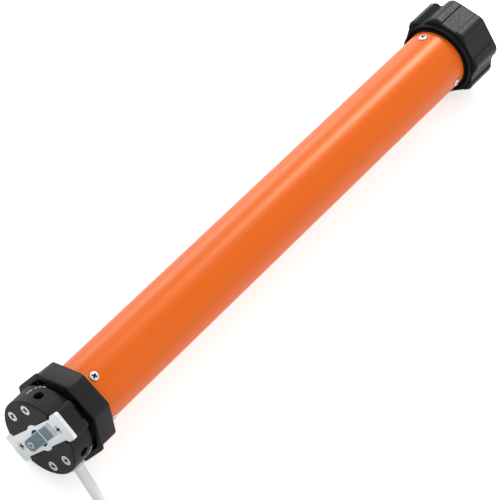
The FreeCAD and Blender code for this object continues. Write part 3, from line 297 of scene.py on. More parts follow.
def spun(points: Array, turn: float) -> Array:
    """Points turned about their own Z."""
    sine, cosine = math.sin(turn), math.cos(turn)
    first, second = points[..., 0], points[..., 1]
    return np.stack([
        first * cosine - second * sine,
        first * sine + second * cosine,
        points[..., 2],
    ], axis=-1)


# Shader maths

Number = Union[int, float]
Key = Union[int, str]


class Signal:
    """A value that flows between a material's nodes, and takes part in Python arithmetic."""

    def __init__(self, recipe: "Recipe", socket: bpy.types.NodeSocket) -> None:
        """Keeps the material's recipe and the socket that gives the value."""
        self.recipe = recipe
        self.socket = socket

    def _math(self, operation: str, first: "Value", second: "Value") -> "Signal":
        """Adds a Math node for one operation."""
        return self.recipe.node("ShaderNodeMath", {"operation": operation}, {0: first, 1: second})

    def __add__(self, other: "Value") -> "Signal":
        """This plus other."""
        return self._math("ADD", self, other)

    __radd__ = __add__

    def __sub__(self, other: "Value") -> "Signal":
        """This minus other."""
        return self._math("SUBTRACT", self, other)

    def __rsub__(self, other: "Value") -> "Signal":
        """Other minus this."""
        return self._math("SUBTRACT", other, self)

    def __mul__(self, other: "Value") -> "Signal":
        """This times other."""
        return self._math("MULTIPLY", self, other)

    __rmul__ = __mul__

    def wave(self) -> "Signal":
        """Half of one plus the sine of this, in radians, so it stays between zero and one."""
        return self._math("SINE", self, 0.0) * 0.5 + 0.5

    def scaled(self, factors: Sequence[float]) -> "Signal":
        """A vector stretched by three factors."""
        inputs = {0: self, 1: tuple(factors)}
        return self.recipe.node("ShaderNodeVectorMath", {"operation": "MULTIPLY"}, inputs)

    def length(self) -> "Signal":
        """The length of a vector."""
        return self.recipe.node("ShaderNodeVectorMath", {"operation": "LENGTH"}, {0: self}, "Value")


Value = Union[Signal, Number, Sequence[float]]


class Recipe:
    """The node tree of one material, or of the world."""

    def __init__(self, owner: Union[bpy.types.Material, bpy.types.World],
                 shader: str = "ShaderNodeBsdfPrincipled",
                 output: str = "ShaderNodeOutputMaterial") -> None:
        """Starts an empty tree with its shader, joined to its output."""
        owner.use_nodes = True
        self.tree = owner.node_tree
        self.tree.nodes.clear()
        self.shader = self.tree.nodes.new(shader)
        end = self.tree.nodes.new(output)
        self.tree.links.new(self.shader.outputs[0], end.inputs["Surface"])

    def feed(self, node: bpy.types.Node, key: Key, value: Value) -> None:
        """Links a signal to a node's socket, or writes a plain value on it."""
        if isinstance(value, Signal):
            self.tree.links.new(value.socket, node.inputs[key])
        else:
            node.inputs[key].default_value = value

    def node(self, kind: str, settings: Mapping[str, object], inputs: Mapping[Key, Value],
             output: Key = 0) -> Signal:
        """Adds a node.

        Args:
            kind: The node's type.
            settings: Its own settings, which are set first.
            inputs: Values or signals by socket.
            output: The socket that the signal comes from.

        Returns:
            The node's output as a signal.
        """
        node = self.tree.nodes.new(kind)
        for key, value in settings.items():
            setattr(node, key, value)
        for key, value in inputs.items():
            self.feed(node, key, value)
        return Signal(self, node.outputs[output])

    def place(self) -> Signal:
        """Where a point is on its object, in metres."""
        return self.node("ShaderNodeTexCoord", {}, {}, "Object")

    def noise(self, place: Signal, scale: float, detail: float = 2.0, roughness: float = 0.5) -> Signal:
        """Soft noise between zero and one, as many waves to the metre as its scale."""
        inputs = {"Vector": place, "Scale": scale, "Detail": detail, "Roughness": roughness}
        return self.node("ShaderNodeTexNoise", {"noise_dimensions": "3D"}, inputs, "Fac")

    def blend(self, share: Value, first: Value, second: Value) -> Signal:
        """A colour that goes from first to second as the share goes from zero to one."""
        inputs = {"Factor": share, 6: first, 7: second}
        return self.node("ShaderNodeMix", {"data_type": "RGBA"}, inputs, 2)

    def axis_part(self, place: Signal, axis: str) -> Signal:
        """One coordinate of a place."""
        return self.node("ShaderNodeSeparateXYZ", {}, {0: place}, axis)

    def ray(self, kind: str) -> Signal:
        """One for rays of a kind, such as Camera or Glossy, and zero for all others."""
        return self.node("ShaderNodeLightPath", {}, {}, f"Is {kind} Ray")

    def surface(self, **values: Value) -> None:
        """Sets the shader's sockets, with spaces in their names written as underscores."""
        for key, value in values.items():
            self.feed(self.shader, key.replace("_", " "), value)


class Pattern(Enum):
    """What a finish shows from close by."""

    GRAIN = "grain of a moulding or a casting"
    PEEL = "slight waves of powder paint"
    BRUSHED = "fine streaks across the motor"
    TURNED = "rings left by a lathe"
    SHEETS = "thin steel sheets, stacked along the axis"
    WOUND = "turns of wire round a core"


@dataclass(frozen=True)
class Finish:
    """A surface finish: a colour that varies a little, a roughness, a fine relief, and the painted shade,
    painted highlight and wear that each piece's own attribute mixes into it.

    The scales are waves to the metre, and the relief and the edge are in metres.
    """

    name: str
    colour: tuple[float, float, float]
    roughness: float
    metallic: float = 0.0
    pattern: Pattern = Pattern.GRAIN
    scale: float = 1800.0
    relief: float = 0.00002
    variation: float = 0.12
    roughness_change: float = 0.12
    coat: float = 0.0
    coat_roughness: float = 0.25
    edge: float = 0.0
    gloss: float = 0.5
    sheen_colour: tuple[float, float, float] = (1.0, 1.0, 1.0)
    # How strongly a piece's attribute mixes in painted shade (a dark colour) or painted highlight with
    # wear (a pale colour), that colour, and the roughness added under painted shade.
    painted_light_and_wear: float = 0.0
    painted_light_and_wear_colour: tuple[float, float, float] = (0.004, 0.004, 0.004)
    painted_shade_roughness: float = 0.4
    patch: float = 38.0

    def material(self) -> bpy.types.Material:
        """The finish as a material, made once and then shared."""
        known = bpy.data.materials.get(self.name)
        return known if known else self.make()

    def height(self, recipe: Recipe, place: Signal) -> Signal:
        """The fine relief's height, between about zero and one, from the finish's pattern."""
        if self.pattern is Pattern.BRUSHED:
            return recipe.noise(place.scaled((1.0, 0.06, 1.0)), self.scale, 3.0, 0.6)
        if self.pattern in (Pattern.GRAIN, Pattern.PEEL):
            return recipe.noise(place, self.scale, 2.0 if self.pattern is Pattern.PEEL else 4.0)
        along = recipe.axis_part(place, "X") * self.scale
        if self.pattern is Pattern.SHEETS:
            return along.wave()
        axis = recipe.node("ShaderNodeVectorMath", {"operation": "SUBTRACT"},
                           {0: place, 1: (0.0, 0.0, AXIS_HEIGHT / METRE)})
        away = axis.scaled((0.0, 1.0, 1.0)).length() * self.scale
        rings = (away + recipe.noise(place, 60.0) * 6.0).wave()
        if self.pattern is Pattern.TURNED:
            return rings
        return rings * (along + recipe.noise(place, 90.0) * 5.0).wave()

    def make(self) -> bpy.types.Material:
        """Builds the node tree."""
        material = bpy.data.materials.new(self.name)
        recipe = Recipe(material)
        place = recipe.place()
        broad = recipe.noise(place, self.patch, 3.0)
        dark = tuple(c * (1.0 - self.variation) for c in self.colour) + (1.0,)
        pale = tuple(min(1.0, c * (1.0 + self.variation)) for c in self.colour) + (1.0,)
        height = self.height(recipe, place)
        bump: dict[Key, Value] = {"Height": height, "Strength": 1.0, "Distance": self.relief}
        if self.edge > 0.0:
            bump["Normal"] = recipe.node("ShaderNodeBevel", {"samples": 6}, {"Radius": self.edge})
        colour = recipe.blend(broad, dark, pale)
        rough = (broad - 0.5) * self.roughness_change + self.roughness
        # Painted light: the piece's attribute darkens the colour as painted shade, or makes it pale as
        # painted highlight with wear; painted shade is also rougher.
        if self.painted_light_and_wear > 0.0:
            painted_light_and_wear_share = recipe.node("ShaderNodeAttribute", {"attribute_name": "painted_light_and_wear"}, {}, "Fac") * self.painted_light_and_wear
            colour = recipe.blend(painted_light_and_wear_share, colour, (*self.painted_light_and_wear_colour, 1.0))
            if max(self.painted_light_and_wear_colour) < self.colour[0]:
                rough = rough + painted_light_and_wear_share * self.painted_shade_roughness
        recipe.surface(
            Base_Color=colour,
            Roughness=rough,
            Metallic=self.metallic,
            Specular_IOR_Level=self.gloss,
            Specular_Tint=(*self.sheen_colour, 1.0),
            Coat_Weight=self.coat,
            Coat_Roughness=self.coat_roughness,
            Normal=recipe.node("ShaderNodeBump", {}, bump),
        )
        return material


PAINT = Finish("orange_powder_paint", (0.87, 0.138, 0.004), 0.34, pattern=Pattern.PEEL, scale=420.0,
               relief=0.00003, variation=0.03, roughness_change=0.06, gloss=0.4,
               sheen_colour=(1.0, 0.86, 0.55))
HEAD_PLASTIC = Finish("head_moulding", (0.011, 0.011, 0.012), 0.5, scale=2600.0, relief=0.00004,
                      variation=0.25, edge=0.0006, gloss=0.2)
CROWN_PLASTIC = Finish("crown_moulding", (0.009, 0.009, 0.010), 0.46, scale=1500.0, relief=0.00006,
                       variation=0.25, gloss=0.2)
# The wheel's attribute paints shade on its collar, its seams and its groove.
WHEEL_PLASTIC = Finish("wheel_moulding", (0.010, 0.010, 0.011), 0.42, scale=900.0, relief=0.0001,
                       variation=0.4, roughness_change=0.3, gloss=0.27, painted_light_and_wear=1.0, patch=420.0)
DARK_PLASTIC = Finish("adjuster_moulding", (0.012, 0.012, 0.013), 0.45, scale=2600.0)
ZINC_PLATE = Finish("bright_zinc_plate", (0.73, 0.755, 0.77), 0.34, metallic=1.0, scale=700.0,
                    relief=0.00003, variation=0.06, roughness_change=0.2, edge=0.0004)
# The screws' attribute paints shade into their cross recesses.
ZINC_SCREW = Finish("zinc_screw_steel", (0.62, 0.62, 0.62), 0.28, metallic=1.0, scale=2500.0,
                    relief=0.00001, variation=0.06, painted_light_and_wear=1.0)
# The leaf's attribute mixes towards pale steel: wear and painted highlight on its edges and fold, a pale
# ring on the button, and the root's pale end.
LEAF_STEEL = Finish("blued_leaf_steel", (0.14, 0.195, 0.23), 0.3, metallic=1.0, pattern=Pattern.BRUSHED,
                    scale=3000.0, relief=0.00002, variation=0.2, painted_light_and_wear=1.0,
                    painted_light_and_wear_colour=(0.58, 0.62, 0.64))
SHEATH = Finish("white_cable_sheath", (0.91, 0.92, 0.91), 0.42, scale=900.0, relief=0.00003,
                variation=0.03)
PRINT = Finish("white_print", (0.78, 0.78, 0.78), 0.6, scale=3000.0, relief=0.00001, variation=0.1)

# Finishes of the pieces held inside, by the record's material slot
INNER_FINISHES: dict[str, Finish] = {
    "gland_rubber": Finish("gland_rubber", (0.62, 0.62, 0.61), 0.55, scale=1800.0),
    "inner_plastic": Finish("ivory_moulding", (0.70, 0.67, 0.58), 0.5, scale=1500.0, variation=0.05),
    "switch_plastic": Finish("switch_moulding", (0.02, 0.02, 0.022), 0.4, scale=2400.0),
    "capacitor_can": Finish("capacitor_can", (0.72, 0.72, 0.70), 0.22, scale=300.0,
                            variation=0.03, coat=0.4),
    "cast_alloy": Finish("die_cast_alloy", (0.55, 0.56, 0.57), 0.48, metallic=1.0, scale=1300.0,
                         relief=0.00006),
    "stator_steel": Finish("stacked_sheet_steel", (0.30, 0.30, 0.31), 0.42, metallic=1.0,
                           pattern=Pattern.SHEETS, scale=6283.0, relief=0.00012),
    "winding_copper": Finish("lacquered_copper_wire", (0.62, 0.20, 0.07), 0.3, metallic=1.0,
                             pattern=Pattern.WOUND, scale=7800.0, relief=0.0002, coat=0.5),
    "gear_steel": Finish("sintered_gear_steel", (0.32, 0.32, 0.33), 0.5, metallic=1.0, scale=3200.0),
    "shaft_steel": Finish("ground_shaft_steel", (0.60, 0.60, 0.61), 0.2, metallic=1.0,
                          pattern=Pattern.TURNED, scale=9000.0, relief=0.00001),
    "brake_lining": Finish("pressed_brake_lining", (0.10, 0.09, 0.08), 0.85, scale=1100.0,
                           relief=0.0001, variation=0.4),
    "bush_bronze": Finish("sintered_bronze", (0.50, 0.30, 0.12), 0.4, metallic=1.0, scale=2600.0),
}


# The motor's pieces

@dataclass(frozen=True)
class MotorTube:
    """The painted steel tube, with chamfered ends, a punched dimple and seats pressed in by screws."""

    start: float = 36.3
    end: float = 431.1
    radius: float = 22.5
    wall: float = 1.2
    chamfer: float = 0.35
    dimple_place: float = 210.3
    dimple_turn: float = math.radians(89.0)
    dimple_radius: float = 0.9
    dimple_depth: float = 0.6
    seat_radius: float = 4.2
    seat_depth: float = 0.3
    near_zone: float = 52.0
    far_zone: float = 415.0
    columns: int = 288

    def sink(self, place: Array, turn: Array, at: float, at_turn: float, reach: float) -> Array:
        """A round hollow's share of its depth: exp(-(d / reach)^4), with d measured on the tube."""
        distance = np.hypot(place - at, turn_from(at_turn, turn) * self.radius)
        return np.exp(-(distance / reach) ** 4)

    def build(self, screws: "TubeScrews") -> bpy.types.Object:
        """The tube as a closed profile carried round the axis, less its hollows.

        Its rows are close together in the screws' two zones and at the dimple.
        """
        at = self.dimple_place
        along = np.concatenate([
            spread(self.start + self.chamfer, self.near_zone, 30), spread(60.0, at - 4.0, 12),
            spread(at - 1.8, at + 1.8, 13), spread(at + 4.0, 408.0, 14),
            spread(self.far_zone, self.end - self.chamfer, 34),
        ])
        turn = full_turn(self.columns)
        outside = np.full((len(along), len(turn)), self.radius)
        grid_place = along[:, None]
        for place, at_turn in screws.spots():
            seat = self.sink(grid_place, turn, place, at_turn, self.seat_radius)
            outside = outside - self.seat_depth * seat
        hollow = self.sink(grid_place, turn, at, self.dimple_turn, self.dimple_radius)
        outside = outside - self.dimple_depth * hollow
        inside = self.radius - self.wall
        edge = self.radius - self.chamfer
        shell = Shell("painted_tube")
        shell.add_profile([(self.start, inside), (self.start, edge), *zip(along, outside),
                           (self.end, edge), (self.end, inside)], turn)
        return shell.finish("motor", ["motor_tube"], "tube_paint", PAINT)


class Head(Enum):
    """The form of a screw's head."""

    PAN = "pan"
    COUNTERSUNK = "countersunk"


@dataclass(frozen=True)
class Screw:
    """A screw with a cross recess; its own Z points out of the head and its head's seat is at zero.

    The lengths are in millimetres. Cross is the reach of the recess's arms, and the shares are of it,
    but pan_depth, which is a share of the head's rise.
    """

    kind: Head
    head_radius: float
    rise: float
    shank_radius: float
    length: float
    cross: float
    arm_share: float = 0.22
    arm_least: float = 0.1
    tip_share: float = 0.86
    pan_depth: float = 0.75
    flat_depth: float = 0.8
    shadow_depth: float = 0.12
    taper: float = 0.4
    columns: int = 72

    def recess(self, radius: Array, angle: Array) -> Array:
        """Depth of the cross: its arms' share, tapered from the middle to their tips.

        A point is in an arm where its smaller coordinate is under the arm's half width and its
        larger one is under the arm's length, both with soft edges.
        """
        first = np.abs(radius * np.cos(angle))
        second = np.abs(radius * np.sin(angle))
        narrow = np.minimum(first, second)
        along = np.maximum(first, second)
        half_width = self.arm_share * self.cross + self.arm_least
        inside = 1.0 - smooth_rise(narrow, half_width - 0.1, half_width + 0.08)
        reach = 1.0 - smooth_rise(along, self.tip_share * self.cross, self.cross)
        pan = self.kind is Head.PAN
        deepest = self.pan_depth * self.rise if pan else self.flat_depth * self.cross
        return deepest * inside * reach * (1.0 - self.taper * along / self.cross)

    def grid(self) -> tuple[Array, Array]:
        """Rows from the head's middle over its rim and down the shank, and their painted shade, which
        darkens the cross recess.
        """
        angle = full_turn(self.columns)
        head, rise, shank, cross = self.head_radius, self.rise, self.shank_radius, self.cross
        radii = np.concatenate([spread(0.0, 1.1 * cross, 13), spread(1.2 * cross, 0.88 * head, 4)])
        if self.kind is Head.PAN:
            tops = rise * (1.0 - 0.3 * (radii / head) ** 2)
            rim = [(0.96 * head, 0.6 * rise), (head, 0.36 * rise), (head, 0.0), (shank, 0.0)]
        else:
            tops = np.full_like(radii, rise)
            rim = [(0.97 * head, rise - 0.03), (head, rise - 0.12), (shank, shank - head)]
        rim += [(shank, -self.length), (0.0, -self.length)]
        depth = self.recess(radii[:, None], angle)
        rim_radii, rim_heights = np.array(rim).T
        all_radii = np.concatenate([radii, rim_radii])[:, None]
        below = np.broadcast_to(rim_heights[:, None], (len(rim), len(angle)))
        heights = np.concatenate([tops[:, None] - depth, below])
        points = np.stack([all_radii * np.cos(angle), all_radii * np.sin(angle), heights], axis=-1)
        # Painted shade: the deeper the cross recess, the darker it is painted.
        painted_light_and_wear = np.clip(depth / (self.shadow_depth * cross), 0.0, 1.0)
        return points, np.concatenate([painted_light_and_wear, np.zeros_like(below)])


@dataclass(frozen=True)
class TubeScrews:
    """The ring of four screws near the crown and the ring of three near the wheel."""

    screw: Screw = Screw(Head.PAN, head_radius=3.15, rise=1.15, shank_radius=1.5, length=6.5, cross=1.85)
    near_place: float = 44.8
    near_turn: float = 9.1
    far_place: float = 423.2
    far_turn: float = 89.8
    seat: float = 22.35
    first_spin: float = 0.5
    spin_step: float = 0.9

    def ring(self, near: bool) -> list[tuple[float, float]]:
        """The (place, turn) of each screw of one ring."""
        count = 4 if near else 3
        place = self.near_place if near else self.far_place
        first = self.near_turn if near else self.far_turn
        return [(place, math.radians(first + 360.0 * number / count)) for number in range(count)]

    def spots(self) -> list[tuple[float, float]]:
        """The (place, turn) of all seven screws."""
        return self.ring(True) + self.ring(False)

    def build(self) -> list[bpy.types.Object]:
        """Both rings, each as one object."""
        made = []
        grid, painted_light_and_wear = self.screw.grid()
        for name, near in (("near", True), ("far", False)):
            shell = Shell(f"{name}_screws")
            for number, (place, turn) in enumerate(self.ring(near)):
                local = spun(grid, self.first_spin + self.spin_step * number) + (place, 0.0, self.seat)
                shell.add_grid(turned_up(local, turn), painted_light_and_wear)
            made.append(shell.finish("motor", [f"{name}_tube_screws"], "zinc_screw", ZINC_SCREW, 40.0))
        return made


@dataclass(frozen=True)
class HeadScrews:
    """The four cover screws and the two plate screws on the head's face."""

    screw: Screw = Screw(Head.COUNTERSUNK, head_radius=3.5, rise=0.0, shank_radius=1.62, length=10.9,
                         cross=2.15)
    turn: float = math.radians(29.2)
    along: float = 8.5
    across: float = 19.6
    cover_front: float = 0.02
    plate_place: float = 24.1
    plate_front: float = 0.52
    first_spin: float = 0.35
    spin_step: float = 1.1

    def build(self) -> list[bpy.types.Object]:
        """Both groups, each as one object."""
        cover = [(a, u) for a in (-self.across, self.across) for u in (-self.along, self.along)]
        plate = [(0.0, -self.plate_place), (0.0, self.plate_place)]
        made = []
        grid, painted_light_and_wear = self.screw.grid()
        for name, node, spots, front in (("cover_screw_set", "face_screws", cover, self.cover_front),
                                         ("plate_screw_set", "plate_screws", plate, self.plate_front)):
            shell = Shell(name)
            for number, (across, upward) in enumerate(spots):
                turned = spun(grid, self.first_spin + self.spin_step * number) * (1.0, 1.0, -1.0)
                local = turned[..., [2, 0, 1]] + (front, across, upward)
                shell.add_grid(turned_up(local, self.turn), painted_light_and_wear)
            made.append(shell.finish("motor", [node], "zinc_screw", ZINC_SCREW, 40.0))
        return made


@dataclass(frozen=True)
class Latch:
    """The leaf spring on the plate: a flat root and a tongue that bends up from it, with its button."""

    turn: float = math.radians(23.2)
    back: float = 0.45
    thickness: float = 0.6
    half_width: float = 4.7
    bend: float = 6.0
    root_start: float = 6.3
    root_end: float = 19.5
    reach: float = 18.5
    rise: float = math.radians(10.4)
    bend_length: float = 0.8
    tip_round: float = 3.4
    button_inset: float = 5.0
    button_radius: float = 2.3
    button_height: float = 0.55
    corner_power: float = 0.25
    shine_span: tuple[float, float] = (0.62, 0.8)
    root_fade: float = 14.5
    fold_fade: tuple[float, float] = (0.7, 1.3)
    columns: int = 48
    button_columns: int = 40
    sharp: float = 50.0

    def strip(self, along: Array, width: Array, lift: Array, slope: Array) -> Array:
        """A flat strip with rounded edges, as rows of closed sections.

        Each section is a superellipse of power eight, width by thickness, standing square to
        the strip's line, which lies at a height of lift and rises by slope.
        """
        angle = full_turn(self.columns)
        side = np.sign(np.cos(angle)) * np.abs(np.cos(angle)) ** self.corner_power
        up = np.sign(np.sin(angle)) * np.abs(np.sin(angle)) ** self.corner_power
        across = width[:, None] * side
        normal = 0.5 * self.thickness * up
        place = self.back - 0.5 * self.thickness - lift[:, None] - normal * np.cos(slope)[:, None]
        upward = along[:, None] - normal * np.sin(slope)[:, None]
        return np.stack([place, across, upward], axis=-1)

    def edge_shine(self) -> Array:
        """How pale each section is painted, for wear and a painted highlight along its edges: one at its
        two sides, zero on its faces.
        """
        return smooth_rise(np.abs(np.cos(full_turn(self.columns))), *self.shine_span)

    def root(self) -> bpy.types.Object:
        """The flat root, which stays on the plate."""
        line = np.concatenate([[self.root_start - 0.02], spread(self.root_start, self.root_end, 20),
                               [self.root_end + 0.02]])
        width = np.full_like(line, self.half_width)
        width[[0, -1]] = 0.0
        flat = np.zeros_like(line)
        # The root is painted paler towards its end, where it meets the plate.
        fade = smooth_rise(line, self.root_fade, self.root_end)[:, None]
        shell = Shell("leaf_root")
        shell.add_grid(turned_up(self.strip(line, width, flat, flat), self.turn),
                       np.maximum(self.edge_shine(), fade))
        return shell.finish("motor", ["latch_root"], "leaf_steel", LEAF_STEEL, self.sharp)

    def tongue(self) -> bpy.types.Object:
        """The tongue, which rises from its bend to a round tip, with its button."""
        tip_start = self.reach - self.tip_round
        tip = tip_start + self.tip_round * np.sin(spread(0.05, 0.5 * math.pi, 14))
        steps = np.concatenate([spread(0.0, 1.4, 10), spread(1.6, tip_start, 26), tip])
        slope = self.rise * smooth_rise(steps, 0.0, self.bend_length)
        run = np.diff(steps, prepend=0.0)
        lift = np.cumsum(np.sin(slope) * run)
        line = self.bend - np.cumsum(np.cos(slope) * run)
        beyond = np.clip(steps - tip_start, 0.0, self.tip_round)
        width = self.half_width - self.tip_round + np.sqrt(self.tip_round ** 2 - beyond ** 2)
        width = np.pad(width, 1)
        line, lift, slope = (np.pad(values, 1, mode="edge") for values in (line, lift, slope))
        # A pale line along the fold, painted for wear and for the highlight on the bend.
        fold_wear_and_highlight = np.concatenate([[1.0], 1.0 - smooth_rise(steps, *self.fold_fade), [0.0]])
        shell = Shell("leaf_tongue")
        shell.add_grid(turned_up(self.strip(line, width, lift, slope), self.turn),
                       np.maximum(self.edge_shine(), fold_wear_and_highlight[:, None]))
        spot = int(np.searchsorted(steps, self.reach - self.button_inset)) + 1
        self.add_button(shell, line[spot], lift[spot])
        return shell.finish("latch", ["latch_tongue"], "leaf_steel", LEAF_STEEL, self.sharp)

    def add_button(self, shell: Shell, line: float, lift: float) -> None:
        """Adds the round button, square to the tongue, with a pale ring on its crest.

        Args:
            shell: The tongue's shell.
            line: How far up the button's middle is.
            lift: How far it stands from the plate.
        """
        angle = full_turn(self.button_columns)
        radii = np.array([0.0, 0.5, 0.8, 0.93, 1.0, 1.0, 0.0]) * self.button_radius
        heights = np.array([0.86, 0.9, 1.0, 0.85, 0.55, -0.5, -0.5]) * self.button_height
        across = radii[:, None] * np.cos(angle)
        down = radii[:, None] * np.sin(angle)
        out = np.broadcast_to(heights[:, None], across.shape) + 0.5 * self.thickness
        sine, cosine = math.sin(self.rise), math.cos(self.rise)
        place = self.back - 0.5 * self.thickness - lift - out * cosine - down * sine
        upward = line - out * sine - down * cosine
        # A pale ring painted round the button's crest.
        pale_ring = np.zeros(across.shape)
        pale_ring[2:4] = 1.0
        local = np.stack([place, across, upward], axis=-1)
        shell.add_grid(turned_up(local, self.turn), pale_ring)

    def build(self) -> list[bpy.types.Object]:
        """The root on the motor, and the tongue with its button on the latch."""
        return [self.root(), self.tongue()]


@dataclass(frozen=True)
class Crown:
    """The idler crown: lip and band on eight flats, bearing sleeve, web and ribs."""

    turn: float = math.radians(23.85)
    front: float = 20.0
    back: float = 36.0
    lip: float = 61.6
    band: float = 57.8
    lip_thickness: float = 2.0
    wall: float = 1.6
    web: float = 3.0
    bore: float = 21.33
    sleeve_wall: float = 2.7
    sleeve_inset: float = 2.0
    rib: float = 1.8
    rib_inset: float = 5.0
    soft: float = 0.3
    columns: int = 384

    def profile(self, turn: Array) -> list[tuple[float, Radius]]:
        """The closed profile's places and radii, with softened edges."""
        front, back, lip, band = self.front, self.back, self.lip, self.band
        soft, bore = self.soft, self.bore
        lip_back = front + self.lip_thickness
        sleeve = front + self.sleeve_inset
        outer = bore + self.sleeve_wall
        hollow = band - 2.0 * self.wall
        floor = back - self.web
        outside = [
            (front, lip - 2.0 * soft), (front + 0.3 * soft, lip - 0.6 * soft), (front + soft, lip),
            (lip_back - soft, lip), (lip_back, lip - 2.0 * soft), (lip_back, band + 2.0 * soft),
            (lip_back + soft, band), (back - soft, band), (back - 0.3 * soft, band - 0.6 * soft),
            (back, band - 2.0 * soft),
        ]
        circles = [
            (back, bore + soft), (back - soft, bore), (sleeve + soft, bore), (sleeve, bore + soft),
            (sleeve, outer - soft), (sleeve + soft, outer), (floor, outer),
        ]
        inside = [(floor, hollow), (front + soft, hollow), (front, hollow + soft)]
        outside, inside = ([(place, octagon_radius(turn, flats, self.turn)) for place, flats in rows]
                           for rows in (outside, inside))
        return outside + circles + inside

    def build(self) -> bpy.types.Object:
        """The crown and its eight ribs as one object."""
        turn = full_turn(self.columns)
        shell = Shell("idler_crown_moulding")
        shell.add_profile(self.profile(turn), turn)
        low = (self.front + self.rib_inset, -0.5 * self.rib, self.bore + 0.5 * self.sleeve_wall)
        high = (self.back - 0.5 * self.web, 0.5 * self.rib, 0.5 * (self.band - self.wall))
        shell.add_ribs(low, high, self.turn)
        return shell.finish("idler_crown", ["crown"], "crown_plastic", CROWN_PLASTIC)


@dataclass(frozen=True)
class DriveWheel:
    """The driven wheel: collar, octagon with corner pads, two seam grooves, hollow, hub and ribs."""

    start: float = 431.4
    body_start: float = 434.8
    end: float = 461.0
    collar: float = 26.3
    collar_recess: float = 23.0
    flats: float = 56.6
    pads: float = 58.4
    pad_inset: float = 0.7
    channel_half: float = 6.095
    groove_turn: float = math.radians(-45.0)
    groove_depth: float = 3.3
    groove_span: tuple[float, float] = (-7.2, 5.9)
    notch_turn: float = math.radians(90.0)
    notch_depth: float = 0.9
    notch_half: float = 6.1
    hollow: float = 47.0
    web: float = 5.0
    hub: float = 11.0
    hub_end: float = 453.0
    rib: float = 2.4
    rib_end: float = 449.0
    square: float = 5.65
    soft: float = 0.45
    # Width and darkness of the painted shadow lines at the channels' edges, and the darkness of the
    # painted shade in the groove.
    seam_half: float = 0.16
    seam_dark: float = 0.8
    groove_dark: float = 0.7
    columns: int = 480
    sharp: float = 15.0

    def flat_distance(self, across: Array, pad: float, turn: Array) -> Array:
        """How far a flat's surface is from the axis, at a distance across from the flat's middle.

        A flat lies at half the width across flats, and rises to half the width across pads beyond
        the channel. The deep groove and the shallow notch are straight lines between their corners.
        """
        low, high = 0.5 * self.flats, 0.5 * (self.flats + pad * (self.pads - self.flats))
        beside = smooth_rise(np.abs(across), self.channel_half - 0.1, self.channel_half + 0.11)
        distance = low + (high - low) * beside
        crest = 0.5 * self.pads
        floor = crest - self.groove_depth
        first, last = self.groove_span
        groove = np.interp(across, [first, -6.75, 1.1, 1.4, 4.3, 4.55, 5.6, last],
                           [crest, crest - 0.2, floor + 0.1, floor, floor, floor + 0.2,
                            crest - 0.3, crest])
        side = self.notch_half
        notch = np.interp(across, [-side, -1.2, side], [low, low - self.notch_depth, low])
        in_groove = self.is_flat(turn, self.groove_turn) & (across > first) & (across < last)
        in_notch = self.is_flat(turn, self.notch_turn) & (np.abs(across) < side - 0.1)
        distance = np.where(in_groove, np.minimum(distance, groove), distance)
        return np.where(in_notch, np.minimum(distance, notch), distance)

    def is_flat(self, turn: Array, middle: float) -> Array:
        """Whether a turn falls on the flat with that middle."""
        return np.abs(turn_from(middle, turn)) < 0.5 * EIGHTH

    def outline(self, turn: Array, pad: float) -> Array:
        """Radius of the wheel's outside: the flat's distance over the cosine of its angle.

        A softened octagon limits the corners.
        """
        local = flat_angle(turn, 0.0)
        across = -0.5 * self.flats * np.tan(local)
        straight = self.flat_distance(across, pad, turn) / np.cos(local)
        limit = octagon_radius(turn, self.flats + pad * (self.pads - self.flats), 0.0, 0.5)
        return np.minimum(straight, limit)

    def seam_painted_shade(self, turn: Array) -> Array:
        """How dark the painted shade is at each turn: painted shadow lines at the channels' edges, and
        painted shade in the deep groove.
        """
        across = -0.5 * self.flats * np.tan(flat_angle(turn, 0.0))
        line = (np.abs(np.abs(across) - self.channel_half) < self.seam_half) * self.seam_dark
        groove = self.is_flat(turn, self.groove_turn) & (across > 0.0) & (across < 5.7)
        return np.maximum(line, groove * self.groove_dark)

    def turns(self) -> Array:
        """Angles round the axis, even ones and pairs at the edges of each flat's channel and grooves."""
        edges = np.array([-7.15, -6.75, -6.2, -6.0, 1.1, 1.4, 4.3, 4.55, 5.6, 6.0, 6.2])
        special = -np.arctan(edges / (0.5 * self.flats))
        middles = np.arange(8) * EIGHTH
        every = np.concatenate([full_turn(self.columns), np.ravel(middles[:, None] + special)])
        return np.unique(np.round(np.mod(every, 2.0 * math.pi), 4))

    def build(self) -> bpy.types.Object:
        """The wheel as one closed profile carried round the axis, and its ribs."""
        turn = self.turns()
        soft, collar, recess, hub = self.soft, self.collar, self.collar_recess, self.hub
        start, body, end, hub_end = self.start, self.body_start, self.end, self.hub_end
        pad_start = body + self.pad_inset
        pad_end = end - self.pad_inset
        bare, padded = self.outline(turn, 0.0), self.outline(turn, 1.0)
        square = self.square / np.maximum(np.abs(np.cos(turn)), np.abs(np.sin(turn)))
        hollow = octagon_radius(turn, self.hollow, 0.0, 0.6)
        floor = body + self.web
        rows = [
            (start, square), (start, recess), (start + 3.0, recess + 0.3), (start + 3.2, collar - 1.3),
            (start + 0.3, collar - 0.7), (start, collar - 0.5), (start + 0.2, collar - 0.1),
            (start + 0.5, collar), (body, collar), (body, np.maximum(bare - soft, collar)),
            (body + 0.3 * soft, bare - 0.3 * soft), (body + soft, bare), (pad_start, bare),
            (pad_start + 0.25, padded - 0.2), (pad_start + 0.6, padded),
            (0.5 * (pad_start + pad_end), padded), (pad_end - 0.6, padded),
            (pad_end - 0.25, padded - 0.2), (pad_end, bare), (end - soft, bare),
            (end - 0.3 * soft, bare - 0.3 * soft), (end, bare - soft), (end, hollow + 0.4),
            (end - 0.4, hollow), (floor, hollow), (floor, hub), (hub_end - 0.4, hub),
            (hub_end, hub - 0.4), (hub_end, square),
        ]
